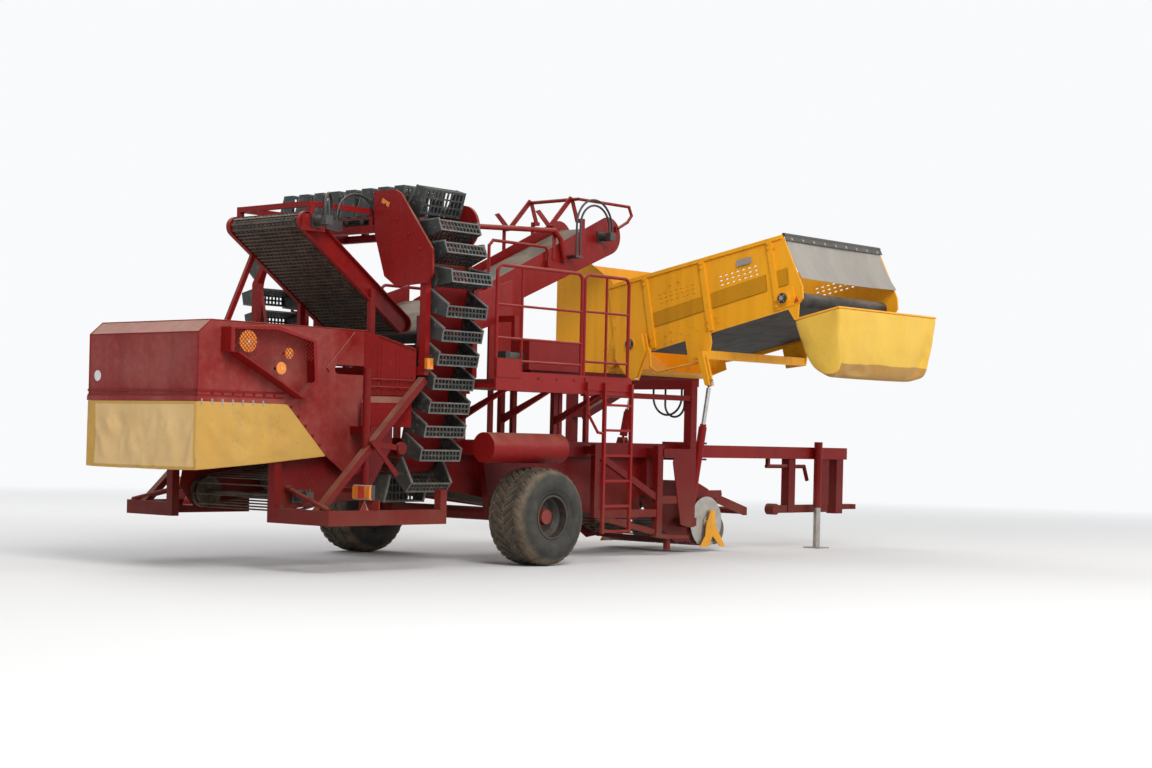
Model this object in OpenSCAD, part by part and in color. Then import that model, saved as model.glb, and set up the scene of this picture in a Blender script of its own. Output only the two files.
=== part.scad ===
// Trailed two-row potato harvester with ring elevator, picking platform and side-unloading bunker.
// Millimetres. +X is forward to the tow eye, +Y is left, +Z is up, and the wheels stand on Z 0.
// Places are given from the axle's middle, and set_down() moves them to the middle of the overall box.

/* [Wheels] */
// Overall diameter of a tyre
tyre_d = 945; // [900:5:970]
// Width of a tyre
tyre_w = 500; // [400:10:520]
// Diameter over the rim flanges
rim_d = 480; // [440:5:560]
// Distance between the middles of the tyres
track_w = 2500; // [2480:10:2600]
// Diameter of the axle tube
axle_d = 130; // [110:5:150]

/* [Frame] */
// Left-right place of the crop channel's middle
channel_y = 60; // [50:5:75]
// Clear width between the frame rails
channel_w = 1340; // [1300:10:1350]
// Width of a frame rail
rail_w = 100; // [80:5:110]
// Height of a frame rail
rail_h = 150; // [140:5:170]
// Height of the rails' underside
rail_z = 1050; // [1045:5:1080]
// Thickness of the side sheets
sheet_t = 8; // [5:1:10]

/* [Ring elevator] */
// Width of the ring elevator along the direction of travel
ring_w = 530; // [480:10:540]
// Distance from the axle to the elevator's front face
ring_front = 930; // [920:5:960]
// Half of the elevator's width across the machine
ring_half = 1485; // [1470:5:1490]
// Height of the elevator's top
ring_top = 3550; // [3500:10:3600]
// Depth of a pocket
pocket_h = 250; // [220:5:260]
// Number of pockets
pocket_count = 38; // [32:1:40]
// Thickness of the pocket walls
pocket_t = 14; // [10:1:16]

/* [Rear hood] */
// Distance from the axle to the hood's rear face
hood_rear = 3700; // [3660:10:3720]
// Height of the hood's lower edge
hood_z = 1510; // [1480:10:1540]
// Height of the hood's roof
hood_top = 2180; // [2150:10:2250]
// Length of the curtain below the hood at the rear
curtain_h = 620; // [580:10:630]
// Thickness of the curtain
curtain_t = 12; // [8:1:14]

/* [Platform] */
// Height of the platform's floor
floor_z = 1730; // [1700:10:1760]
// Height of the railing above the floor
railing_h = 1150; // [1000:10:1200]
// Diameter of the railing's tubes
railing_d = 34; // [28:2:40]
// Clear width of the ladder
ladder_w = 440; // [400:10:460]

/* [Bunker] */
// Distance from the axle to the bunker's rear wall
bunker_x = 3200; // [3195:5:3220]
// Length of the bunker along the direction of travel
bunker_w = 1850; // [1800:10:1900]
// Thickness of the bunker's walls
wall_t = 8; // [6:1:10]
// Diameter of the bunker's hinge pins
boom_pin_d = 50; // [40:2:56]

/* [Drawbar] */
// Width of the drawbar's tube
drawbar_w = 160; // [140:5:170]
// Distance from the axle to the tow eye's middle
eye_x = 6400; // [6350:10:6450]
// Diameter of the tow eye's hole
eye_bore = 50; // [40:1:60]
// Outer diameter of the tow eye
eye_d = 150; // [130:5:160]
// Height of the tow eye's middle
eye_z = 480; // [460:10:520]
// Diameter of the drawbar's pivot pin
pivot_d = 60; // [50:2:70]

/* [Digging unit] */
// Diameter of a coulter disc
coulter_d = 560; // [500:10:580]
// Diameter of the depth rollers
roller_d = 340; // [300:10:360]
// Number of digging shares
share_count = 4; // [3:1:5]

/* [Hidden] */
$fn = 48;
// running gap between faces that pass each other, at a pin, and where pieces only rest
gap = 8;
pin_gap = 0.3;
seat = 0.3;
wheel_r = tyre_d / 2;

RED = [0.62, 0.14, 0.15];
DARK_RED = [0.45, 0.09, 0.11];
YELLOW = [0.91, 0.65, 0.13];
CANVAS = [0.93, 0.76, 0.28];
BLACK = [0.12, 0.12, 0.12];
STEEL = [0.55, 0.55, 0.55];
GREY = [0.4, 0.4, 0.38];
ORANGE = [0.85, 0.35, 0.1];

// frame rails: middles, outer sides, ends
rail_right = channel_y - channel_w / 2 - rail_w / 2;
rail_left = channel_y + channel_w / 2 + rail_w / 2;
rail_top = rail_z + rail_h;
rail_front = 3000;
rail_rear = 2830;
in_right = rail_right + rail_w / 2;
in_left = rail_left - rail_w / 2;
out_right = rail_right - rail_w / 2;
out_left = rail_left + rail_w / 2;
ring_back = -ring_front - ring_w;
// what hangs under the rails, outside the channel's side sheets
hanger_y = [[out_right, in_right - 14], [in_left + 14, out_left]];
web_y0 = in_right + 20;
web_y1 = in_left - 20;
hood_y0 = out_right - 10;
hood_y1 = out_left + 10;

// overall box: hood's rolled edge to the tow eye's nose, and the bag's side to the left tyre's side
rear_x = -hood_rear - 14;
front_x = eye_x + eye_d / 2;
bag_y = -2560;
left_y = track_w / 2 + tyre_w / 2;
mid_x = (rear_x + front_x) / 2;
mid_y = (bag_y + left_y) / 2;

module set_down() {
    translate([-mid_x, -mid_y, 0]) children();
}

// Profile in X and Z, drawn out from y0 to y1
module across(y0, y1) {
    translate([0, y1, 0]) rotate([90, 0, 0]) linear_extrude(y1 - y0) children();
}

// Profile in Y and Z, drawn out from x0 to x1
module along(x0, x1) {
    translate([x0, 0, 0]) rotate([90, 0, 90]) linear_extrude(x1 - x0) children();
}

// Box given by its two corners
module block(a, b) {
    translate(a) cube(b - a);
}

// Round rod between two points
module rod(a, b, d, fn = 24) {
    v = b - a;
    translate(a) rotate([0, acos(v.z / norm(v)), atan2(v.y, v.x)]) cylinder(d = d, h = norm(v), $fn = fn);
}

// Square or oblong tube between two points, w across and h up
module beam(a, b, w, h) {
    v = b - a;
    translate(a) rotate([0, acos(v.z / norm(v)), atan2(v.y, v.x)])
        translate([-h / 2, -w / 2, 0]) cube([h, w, norm(v)]);
}

// Round bar through a list of points, with a ball at each bend
module bent_rod(p, d) {
    for (i = [0 : len(p) - 2]) rod(p[i], p[i + 1], d, 16);
    for (i = [1 : len(p) - 2]) translate(p[i]) sphere(d = d + 3, $fn = 16);
}

// Hose that rises from a, bows over and comes down to b
module arch(a, b, top, d) {
    r = norm([b.x - a.x, b.y - a.y]) / 2;
    for (p = [a, b]) rod(p, [p.x, p.y, top - r], d, 16);
    translate([(a.x + b.x) / 2, (a.y + b.y) / 2, top - r]) rotate([90, 0, atan2(b.y - a.y, b.x - a.x)])
        rotate_extrude(angle = 180) translate([r, 0]) circle(d = d, $fn = 16);
}

// Hose that hangs from a and b in a loop
module loop(a, b, low, d) {
    r = norm([b.x - a.x, b.y - a.y]) / 2;
    for (p = [a, b]) rod([p.x, p.y, low + r], p, d, 16);
    translate([(a.x + b.x) / 2, (a.y + b.y) / 2, low + r]) rotate([-90, 0, atan2(b.y - a.y, b.x - a.x)])
        rotate_extrude(angle = 180) translate([r, 0]) circle(d = d, $fn = 16);
}

// A belt runs round pulleys given as [across, up, radius], anticlockwise.
// outward(p, q) is the direction in which the run from p to q faces.
function outward(p, q) = atan2(q.y - p.y, q.x - p.x) - acos((p.z - q.z) / norm([q.x - p.x, q.y - p.y]));
function after(c, i) = c[(i + 1) % len(c)];
function before(c, i) = c[(i + len(c) - 1) % len(c)];
function leaves(c, i) = outward(c[i], after(c, i));
function arrives(c, i) = outward(before(c, i), c[i]);
function turned(c, i) = let (d = leaves(c, i) - arrives(c, i)) d - 360 * floor(d / 360);
function arc_len(c, i) = c[i].z * turned(c, i) * PI / 180;
function run_len(c, i) = sqrt(pow(after(c, i).x - c[i].x, 2) + pow(after(c, i).y - c[i].y, 2)
    - pow(after(c, i).z - c[i].z, 2));
function belt_len(c, i = 0) = i == len(c) ? 0 : arc_len(c, i) + run_len(c, i) + belt_len(c, i + 1);
function grown(c, d) = [for (p = c) [p.x, p.y, p.z + d]];
function rim_point(p, a) = [p.x + p.z * cos(a), p.y + p.z * sin(a)];
// Outline of the belt as points
function belt_points(c, step = 15) = [
    for (i = [0 : len(c) - 1])
        let (n = max(1, ceil(turned(c, i) / step)))
            for (k = [0 : n]) rim_point(c[i], arrives(c, i) + turned(c, i) * k / n)
];
// Place at distance d along the belt: [across, up, outward angle]
function place_at(c, d, i = 0) =
    let (arc = arc_len(c, i), run = run_len(c, i))
        d <= arc
            ? let (a = arrives(c, i) + turned(c, i) * d / max(arc, 0.001), p = rim_point(c[i], a)) [p.x, p.y, a]
            : d <= arc + run || i == len(c) - 1
                ? let (a = leaves(c, i), p = rim_point(c[i], a)) [
                    p.x + (d - arc) * cos(a + 90), p.y + (d - arc) * sin(a + 90), a]
                : place_at(c, d - arc - run, i + 1);

module belt_ring(c, t, step = 15) {
    difference() {
        polygon(belt_points(c, step));
        polygon(belt_points(grown(c, -t), step));
    }
}

// Web of cross rods on two side belts between y0 and y1, driven by sprockets on shafts that reach
// from s0 to s1; the rods' outer side follows c
module rod_web(c, y0, y1, rod_d, pitch, belt_w, s0, s1) {
    inner = grown(c, -rod_d / 2);
    n = round(belt_len(inner) / pitch);
    for (y = [y0, y1 - belt_w]) across(y, y + belt_w) belt_ring(grown(c, -1), rod_d - 2);
    for (k = [0 : n - 1]) {
        p = place_at(inner, k * belt_len(inner) / n);
        across(y0 + 1, y1 - 1) translate([p.x, p.y]) rotate(p.z) circle(d = rod_d, $fn = 6);
    }
    for (p = c) {
        across(s0, s1) translate([p.x, p.y]) circle(d = 50, $fn = 16);
        for (y = [y0 + 80, y1 - 100]) across(y, y + 20) translate([p.x, p.y]) circle(r = p.z - rod_d / 2, $fn = 24);
    }
}

// FRAME

module chassis() {
    cross_x = [-rail_rear, -1680, -830, 420, 1560, rail_front - 120];
    yoke_y = [rail_right - rail_w / 2, drawbar_y + drawbar_w / 2 + 20];
    color(DARK_RED) {
        for (y = [rail_right, rail_left])
            block([-rail_rear, y - rail_w / 2, rail_z], [rail_front, y + rail_w / 2, rail_top]);
        for (x = cross_x) block([x, rail_right, rail_z + 10], [x + 120, rail_left, rail_top - 10]);
        // posts that carry the hood
        for (x = hood_posts) for (y = [rail_right, rail_left])
            block([x - 30, y - 30, rail_top - 1], [x + 30, y + 30, hood_z + 60]);
        // yoke round the drawbar's rear end, with its pin
        for (z = [rail_z - 25, rail_top - 5 + gap])
            block([rail_front - 160, yoke_y[0], z], [pivot_x + 70, yoke_y[1], z + 22]);
        block([rail_front - 160, yoke_y[0], rail_top - 5], [rail_front, yoke_y[1], rail_top + gap]);
        rod([pivot_x, drawbar_y, rail_z - 32], [pivot_x, drawbar_y, rail_top + 40], pivot_d, 48);
        // hangers of the digging unit
        for (y = [rail_right, rail_left]) difference() {
            block([digger_x - 70, y - rail_w / 2, digger_z - 60], [digger_x + 70, y + rail_w / 2, rail_z + 1]);
            rod([digger_x, y - rail_w, digger_z], [digger_x, y + rail_w, digger_z], digger_pin_d + 2 * pin_gap, 48);
        }
        // lugs of the steering cylinder
        for (z = [steer_z - 40, steer_z + 15])
            block([rail_front - 1, steer_base.y - 35, z], [steer_base.x + 35, steer_base.y + 35, z + 25]);
        rod([steer_base.x, steer_base.y, steer_z - 50], [steer_base.x, steer_base.y, steer_z + 50], 30);
        // lugs of the inner lift cylinder
        for (x = [lift_x - 45, lift_x + 20])
            along(x, x + 25) polygon([[inner_base.x - 60, rail_z + 10], [inner_base.x + 60, rail_z + 10],
                [inner_base.x + 60, rail_top - 10], [inner_base.x + 35, inner_base.y + 35],
                [inner_base.x - 35, inner_base.y + 35], [inner_base.x - 60, rail_top - 10]]);
        block([rail_front - 1, inner_base.x - 60, rail_z + 10],
            [lift_x + 45, inner_base.x + 60, rail_z + 60]);
        rod([lift_x - 50, inner_base.x, inner_base.y], [lift_x + 50, inner_base.x, inner_base.y], 30);
    }
}

module axle() {
    stub_d = 100;
    end_y = track_w / 2 + 60;
    color(DARK_RED) {
        rod([0, -track_w / 2 + tyre_w / 2 + 20, wheel_r], [0, track_w / 2 - tyre_w / 2 - 20, wheel_r], axle_d, 48);
        rod([0, -end_y, wheel_r], [0, end_y, wheel_r], stub_d, 48);
        for (y = hanger_y) across(y[0], y[1])
            polygon([[-200, rail_z], [-70, wheel_r - 60], [70, wheel_r - 60], [200, rail_z]]);
    }
}

// Side sheets of the crop channel, hung under the rails
module channel_sides() {
    front = [[-840, rail_z], [-840, 740], [0, 620], [2250, 380], [2320, 420], [2320, rail_z]];
    rear = [[-2690, rail_z], [-2750, 720], [-2620, 540], [-1640, 640], [-1640, rail_z]];
    color(RED) for (y = [in_right - sheet_t - 4, in_left + 4]) across(y, y + sheet_t) {
        difference() {
            polygon(front);
            translate([0, wheel_r]) circle(d = axle_d + 60);
        }
        polygon(rear);
    }
}

module rear_frame() {
    end_x = -rail_rear + 80;
    low = 430;
    high = 560;
    color(RED) for (side = [-1, 1]) {
        inner = side < 0 ? out_right : out_left;
        outer = side * (left_y - 60);
        y0 = min(outer, inner);
        y1 = max(outer, inner);
        block([-rail_rear, y0, low], [end_x, y1, high]);
        block([end_x - 1, min(outer, outer - side * 80), low], [-1410, max(outer, outer - side * 80), high]);
        block([-1490, min(outer, outer - side * 80), high - 1], [-1410, max(outer, outer - side * 80), 740]);
        yr = hanger_y[side < 0 ? 0 : 1];
        block([-rail_rear, yr[0], low], [end_x, yr[1], rail_z]);
        // diagonal up to the ring's bar
        beam([-rail_rear + 40, side * 1230, high - 30], [ring_back - 52, side * 1200, 1740], 80, 60);
        // link out to the rear web's corner
        rod([-2600, side * 1 + (side < 0 ? in_right - 40 : in_left + 40), 720], [-rail_rear + 40, outer - side * 40, 560], 50);
        rod([-2600, side < 0 ? in_right - 80 : in_left + 4 + sheet_t, 720], [-2600, side < 0 ? in_right - 4 - sheet_t : in_left + 80, 720], 76);
        rod([-2200, side * 1200, 500], [-2200, side * 1200, 1820], 70);
        block([-2240, min(side * 1200, outer - side * 40), 500], [-2160, max(side * 1200, outer - side * 40), 550]);
    }
}

// RING ELEVATOR

// pulleys of its outer line, in Y and Z
ring_pulleys = [
    [ring_half - 870, 1120, 520], [ring_half - 520, 2650, 520], [ring_half - 560, ring_top - 350, 350],
    [560 - ring_half, ring_top - 350, 350], [520 - ring_half, 2650, 520], [870 - ring_half, 1120, 520],
];
ring_inner = grown(ring_pulleys, -pocket_h);
chain_w = 40;
chain_t = 24;

module ring_chains() {
    color(BLACK) for (x = [ring_back, -ring_front - chain_w])
        along(x, x + chain_w) belt_ring(ring_inner, chain_t, 5);
}

// Each pocket is a piece of its own that sits on the chains
module ring_pockets() {
    pitch = belt_len(ring_inner) / pocket_count;
    color(BLACK) for (k = [0 : pocket_count - 1]) {
        p = place_at(ring_inner, (k + 0.5) * pitch);
        for (x = [ring_back, -ring_front - pocket_t])
            along(x, x + pocket_t) translate([p.x, p.y]) rotate(p.z - 90) pocket_end(pitch);
        along(ring_back + 2, -ring_front - 2) translate([p.x, p.y]) rotate(p.z - 90) pocket_walls(pitch);
    }
}

// End plate of a pocket: wide at the chain, narrow outside
module pocket_end(pitch) {
    polygon([[-0.45 * pitch, seat], [0.42 * pitch, seat], [0.02 * pitch, pocket_h], [-0.48 * pitch, pocket_h]]);
}

// Bottom wall and outer wall of a pocket
module pocket_walls(pitch) {
    x0 = -0.45 * pitch;
    x1 = -0.48 * pitch;
    top = 0.02 * pitch - 6;
    polygon([
        [x0 + 1, 6], [x0 + 1 + pocket_t, 6], [x1 + pocket_t, pocket_h - pocket_t - 2],
        [top, pocket_h - pocket_t - 2], [top, pocket_h - 2], [x1 + 2, pocket_h - 2],
    ]);
}

// Tracks that the chains run on, and the sheet that keeps the crop in the rising pockets
guide_t = 10;
ring_track = grown(ring_inner, -chain_t - seat);
module ring_guide() {
    color(RED) {
        for (x = [ring_back, -ring_front - chain_w])
            along(x, x + chain_w) belt_ring(ring_track, guide_t, 5);
        along(ring_back + chain_w - 1, -ring_front - chain_w + 1) intersection() {
            belt_ring(ring_track, 5, 5);
            polygon([[ring_half, 0], [ring_half, 900], [-300, 900], [-300, 3250], [-ring_half, 3250], [-ring_half, 0]]);
        }
    }
}

module ring_frame() {
    back = ring_back - 75;
    front = -ring_front + 15;
    upright_y = ring_half - 285;
    top_y = ring_half - 585;
    color(RED) {
        for (x = [back, front]) {
            // posts from the rails to the bar across, and on to the top beam
            for (y = [rail_right, rail_left]) block([x, y - 40, rail_top], [x + 60, y + 40, 1800]);
            block([x, -upright_y - 40, 1780], [x + 60, upright_y + 40, 1860]);
            block([x, -top_y, 3120], [x + 60, top_y, 3190]);
            for (side = [-1, 1]) {
                block([x, side * upright_y - 40, 1780], [x + 60, side * upright_y + 40, 2700]);
                along(x, x + 60) polygon([[side * (upright_y - 40), 2700], [side * (upright_y + 40), 2700],
                    [side * top_y, 3190], [side * (top_y - 80), 3190]]);
            }
        }
        // stringers inside the ring, seated on the inner side of the tracks
        along(back + 30, front + 30) intersection() {
            polygon(belt_points(grown(ring_track, -guide_t), 5));
            for (side = [-1, 1]) {
                translate([side * (ring_half - 485) - 60, 1785]) square([120, 70]);
                translate([side * (ring_half - 885) - 40, 3120]) square([80, 200]);
            }
        }
    }
}

module ring_cover() {
    x = ring_back - 75;
    y = -ring_half;
    color(RED) {
        along(x - 24, x) polygon([[y + 955, 3500], [y + 665, 3500], [y + 585, 3460], [y + 155, 2930], [y + 145, 2700],
            [y + 215, 2620], [y + 625, 2600], [y + 785, 2700], [y + 925, 3090]]);
        translate([-ring_front + 75, y + 485, 3200]) rotate([0, 90, 0]) cylinder(d = 420, h = 30);
    }
}

// Steep rod web inside the ring, in X and Z
steep_pulleys = [[-2330, 3150, 90], [-1100, 2290, 90]];
steep_y = [-430, 480];
module steep_web() {
    color(BLACK) rod_web(steep_pulleys, steep_y[0], steep_y[1], 16, 90, 50, steep_y[0] - 20, steep_y[1] + 20);
}

module steep_web_frame() {
    a = steep_pulleys[1];
    b = steep_pulleys[0];
    post_x = ring_back - 75;
    beam_z = 3290;
    sides = [steep_y[0] - 70, steep_y[1] + 20 + seat];
    slope = (b.y - a.y) / (b.x - a.x);
    color(RED) {
        for (side = sides) {
            // channel whose hollow faces outwards
            difference() {
                across(side, side + 50) channel_outline(a, b, 190);
                across(side < 0 ? side - 1 : side + 12, side < 0 ? side + 38 : side + 51) channel_outline(a, b, 166);
            }
            block([post_x, side, 1860], [post_x + 60, side + 50, a.y + slope * (post_x - a.x)]);
            // bar above the crop, from the ring's top to the web's head
            block([b.x + 30, side, b.y], [b.x + 80, side + 50, beam_z + 1]);
            block([b.x + 30, side, beam_z], [post_x + 60, side + 50, beam_z + 50]);
            block([post_x, side, 3190], [post_x + 60, side + 50, beam_z + 1]);
        }
        block([b.x + 30, sides[0] + 1, beam_z + 1], [b.x + 80, sides[1] + 49, beam_z + 49]);
        // strut on the hood's roof
        beam([-2440, sides[1] + 25, hood_top + 14], [-2090, sides[1] + 25, 2960], 40, 46);
        block([-2480, sides[1], hood_top], [-2400, sides[1] + 50, hood_top + 30]);
        // gear case of the web's drive
        block([b.x - 80, sides[0] - 60, b.y - 90], [b.x + 160, sides[0] + 1, b.y + 60]);
    }
}

// Outline round the two ends of the web's side, in X and Z
module channel_outline(a, b, d) {
    hull() {
        translate([a.x, a.y]) circle(d = d, $fn = 24);
        translate([b.x, b.y]) circle(d = d, $fn = 24);
    }
}

// REAR HOOD

// posts under it, and its side outline in X and Z
hood_posts = [-2700, -1900];
hood_side = [
    [-hood_rear, hood_z], [-hood_rear, hood_top - 110], [-hood_rear + 130, hood_top],
    [-1760, hood_top], [-1690, hood_top - 90], [-1690, 1000], [-1850, 860], [-2000, 860], [-2250, 1030],
    [-2750, hood_z],
];

module hood() {
    t = sheet_t;
    color(RED) {
        for (y = [hood_y0, hood_y1 - t]) across(y, y + t) difference() {
            polygon(hood_side);
            hull() for (x = [-2115, -1805]) translate([x, 1812]) circle(d = 84, $fn = 24);
        }
        for (y = [hood_y0 - 14, hood_y1 - 1]) across(y, y + 15)
            polygon([[-1930, 2160], [-1890, 2130], [-2235, 1785], [-2262, 1822]]);
        across(hood_y0 + 1, hood_y1 - 1) difference() {
            polygon([[-hood_rear, hood_z], [-hood_rear, hood_top - 110], [-hood_rear + 130, hood_top],
                [-1760, hood_top], [-1760, hood_top - 60], [-hood_rear + 60, hood_z]]);
            polygon([[-hood_rear + t, hood_z - 1], [-hood_rear + t, hood_top - 113], [-hood_rear + 133, hood_top - t],
                [-1700, hood_top - t], [-1700, hood_z - 1]]);
        }
        // rolled lower edge
        block([-hood_rear - 14, hood_y0 - 14, hood_z - 30], [-hood_rear + t, hood_y1 + 14, hood_z + 10]);
        for (y = [hood_y0 - 14, hood_y1 - t]) block([-hood_rear - 14, y, hood_z - 30], [-2750, y + 14 + t, hood_z + 10]);
        // cross tubes that rest on the posts of the rear frame
        for (x = hood_posts) block([x - 30, hood_y0 + 1, hood_z + 60], [x + 30, hood_y1 - 1, hood_z + 120]);
    }
}

module curtain() {
    top = hood_z - 30 - seat;
    t = curtain_t;
    low = hood_z - curtain_h;
    color(CANVAS) {
        for (y = [hood_y0 - 12, hood_y1 + 12 - t]) across(y, y + t) polygon([
            [-hood_rear - 12, top], [-hood_rear - 12, low], [-2250, low + 130], [-2720, top]]);
        block([-hood_rear - 12, hood_y0 - 12, low], [-hood_rear - 12 + t, hood_y1 + 12, top]);
    }
}

module side_guard() {
    outline = [[-3462, 2123], [-2949, 2165], [-2496, 2047], [-2474, 1674], [-2632, 1528], [-3381, 1906], [-3462, 1910]];
    y = hood_y0 - 140;
    color(RED) {
        across(y, hood_y0) difference() {
            polygon(outline);
            offset(-14) polygon(outline);
        }
        across(y + 6, y + 10) polygon(outline);
    }
    // discs painted on the guard, as thin raised plates
    discs = [[-3265, 2007, 95], [-2890, 1790, 55], [-2804, 1924, 48]];
    color(ORANGE) for (d = discs) across(y, y + 7) translate([d.x, d.y]) circle(r = d.z);
}

// Flared panel that leads from the hood's side out to the ring
module flared_panel() {
    inner = [-2300, hood_y0];
    outer = [ring_back - 80, -1140];
    color(RED) difference() {
        translate([0, 0, 1300]) linear_extrude(hood_top - 1310)
            polygon([inner, [inner.x, inner.y - 14], [outer.x, outer.y - 10], outer]);
        across(-2000, 0) polygon([[-2400, 2180], [-2400, 2150], [-2150, hood_top - 60], [-1300, 2080], [-1300, 2180]]);
    }
}

rear_web_pulleys = [[-2500, 660, 150], [-1760, 800, 140]];
module rear_web() {
    color(BLACK) rod_web(rear_web_pulleys, web_y0, web_y1, 16, 110, 50, in_right - 4 + seat, in_left + 4 - seat);
}

main_web_pulleys = [[-730, 880, 130], [2150, 520, 130]];
module main_web() {
    color(BLACK) rod_web(main_web_pulleys, web_y0, web_y1, 16, 110, 50, in_right - 4 + seat, in_left + 4 - seat);
}

// WHEELS, with the axis along Y and the outer face towards -Y

module tyre() {
    r0 = rim_d / 2 - 25;
    rotate([90, 0, 0]) rotate_extrude($fn = 96) translate([0, -tyre_w / 2]) polygon([
        [r0, 30], [r0 + 60, 6], [r0 + 110, 0], [wheel_r - 70, 12], [wheel_r - 15, 40], [wheel_r, 70],
        [wheel_r, tyre_w - 70], [wheel_r - 15, tyre_w - 40], [wheel_r - 70, tyre_w - 12], [r0 + 110, tyre_w],
        [r0 + 60, tyre_w - 6], [r0, tyre_w - 30],
    ]);
}

module rim() {
    r1 = rim_d / 2 - 25 - seat;
    bore = 50 + pin_gap;
    face = tyre_w / 2 + 66;
    rotate([90, 0, 0]) rotate_extrude($fn = 72) translate([0, -tyre_w / 2]) polygon([
        [bore, 150], [bore, face], [0, face], [0, face + 74], [70, face + 74], [80, face + 30], [150, face + 18],
        [r1 - 40, face + 52], [r1 - 20, face + 66], [r1 - 20, tyre_w - 30], [r1, tyre_w - 30], [r1, 30], [r1 - 20, 30],
        [r1 - 20, face + 34], [r1 - 40, face + 30], [150, face + 2], [85, face + 2], [85, 150],
    ]);
}

module tyre_right() { color(BLACK) translate([0, -track_w / 2, wheel_r]) tyre(); }
module tyre_left() { color(BLACK) translate([0, track_w / 2, wheel_r]) mirror([0, 1, 0]) tyre(); }
module rim_right() { color(RED) translate([0, -track_w / 2, wheel_r]) rim(); }
module rim_left() { color(RED) translate([0, track_w / 2, wheel_r]) mirror([0, 1, 0]) rim(); }

// TANK, PLATFORM AND PICKING TABLE

module tank() {
    y = -1180;
    z = 1130;
    d = 290;
    color(RED) {
        rod([-680, y, z], [380, y, z], d, 64);
        for (x = [-500, 200]) block([x, y, z - 60], [x + 50, out_right, z + 60]);
    }
}

// inner edges of the two platforms, and the posts beside them that stand on the rails' inner halves
plat_in = [rail_right + 2, rail_left - 2];
inner_post = [[rail_right + 5, rail_right + 50], [rail_left - 50, rail_left - 5]];
plat_out = 1480;
plat_x = [-845, 1110];
module platform() {
    color(RED) for (side = [0, 1]) {
        sign = side == 0 ? -1 : 1;
        y0 = min(plat_in[side], sign * plat_out);
        y1 = max(plat_in[side], sign * plat_out);
        rail_y = side == 0 ? rail_right : rail_left;
        edge = sign * plat_out;
        block([plat_x[0], y0, floor_z - 40], [plat_x[1], y1, floor_z]);
        block([plat_x[0], min(edge, edge - sign * 8), floor_z - 60], [plat_x[1], max(edge, edge - sign * 8), floor_z + 120]);
        // plain boards on the edge, one beside the ring and one above the ladder
        block([plat_x[0], min(edge - sign * 7, edge + sign * 8), floor_z + 60], [-520, max(edge - sign * 7, edge + sign * 8), floor_z + 240]);
        block([410, min(edge - sign * 7, edge + sign * 10), floor_z - 20], [plat_x[1], max(edge - sign * 7, edge + sign * 10), floor_z + 100]);
        for (x = [-560, 40, 820]) {
            block([x, min(plat_in[side], rail_y + sign * 50), rail_top],
                [x + 60, max(plat_in[side], rail_y + sign * 50), floor_z - 30]);
            along(x + 10, x + 50) polygon([[rail_y, 1350], [rail_y, 1430], [sign * 1300, floor_z - 30],
                [sign * 1380, floor_z - 30]]);
        }
    }
}

// Railing in two stretches: [from, to, post between them, heights of the bars]
rails = [
    [plat_x[0] + 20, 372, -480, [220, 430, 740]],
    [412, plat_x[1] - 30, 741, [260, 750]],
];
module railing() {
    d = railing_d;
    top = floor_z + railing_h - 40;
    bend = 70;
    color(RED) for (side = [-1, 1]) for (r = rails) {
        y = side * (plat_out - sheet_t - d / 2 - seat);
        for (x = [r[0], r[1]]) rod([x, y, floor_z], [x, y, top - bend], d);
        rod([r[2], y, floor_z], [r[2], y, top - 5], d - 8);
        for (h = r[3]) rod([r[0], y, floor_z + h], [r[1], y, floor_z + h], d - 10);
        rod([r[0] + bend, y, top], [r[1] - bend, y, top], d);
        translate([r[1] - bend, y, top - bend]) rotate([90, 0, 0]) rotate_extrude(angle = 90)
            translate([bend, 0]) circle(d = d);
        translate([r[0] + bend, y, top - bend]) rotate([90, -90, 0]) rotate_extrude(angle = 90)
            translate([bend, 0]) circle(d = d);
    }
}

module ladder() {
    x0 = 668;
    t = 30;
    y = -plat_out - 10 - seat;
    color(RED) {
        for (x = [x0, x0 + ladder_w - t]) block([x, y - 34, 300], [x + t, y, floor_z + 60]);
        for (k = [0 : 5]) block([x0 + 1, y - 30, 310 + 250 * k], [x0 + ladder_w - 1, y - 4, 335 + 250 * k]);
        // grab bar beside it
        bent_rod([[430, y - 16, floor_z], [440, y - 16, 1480], [590, y - 16, 1300], [x0 + 5, y - 16, 1290]], 28);
        block([412, y - 30, floor_z - 10], [448, y, floor_z + 60]);
    }
}

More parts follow.
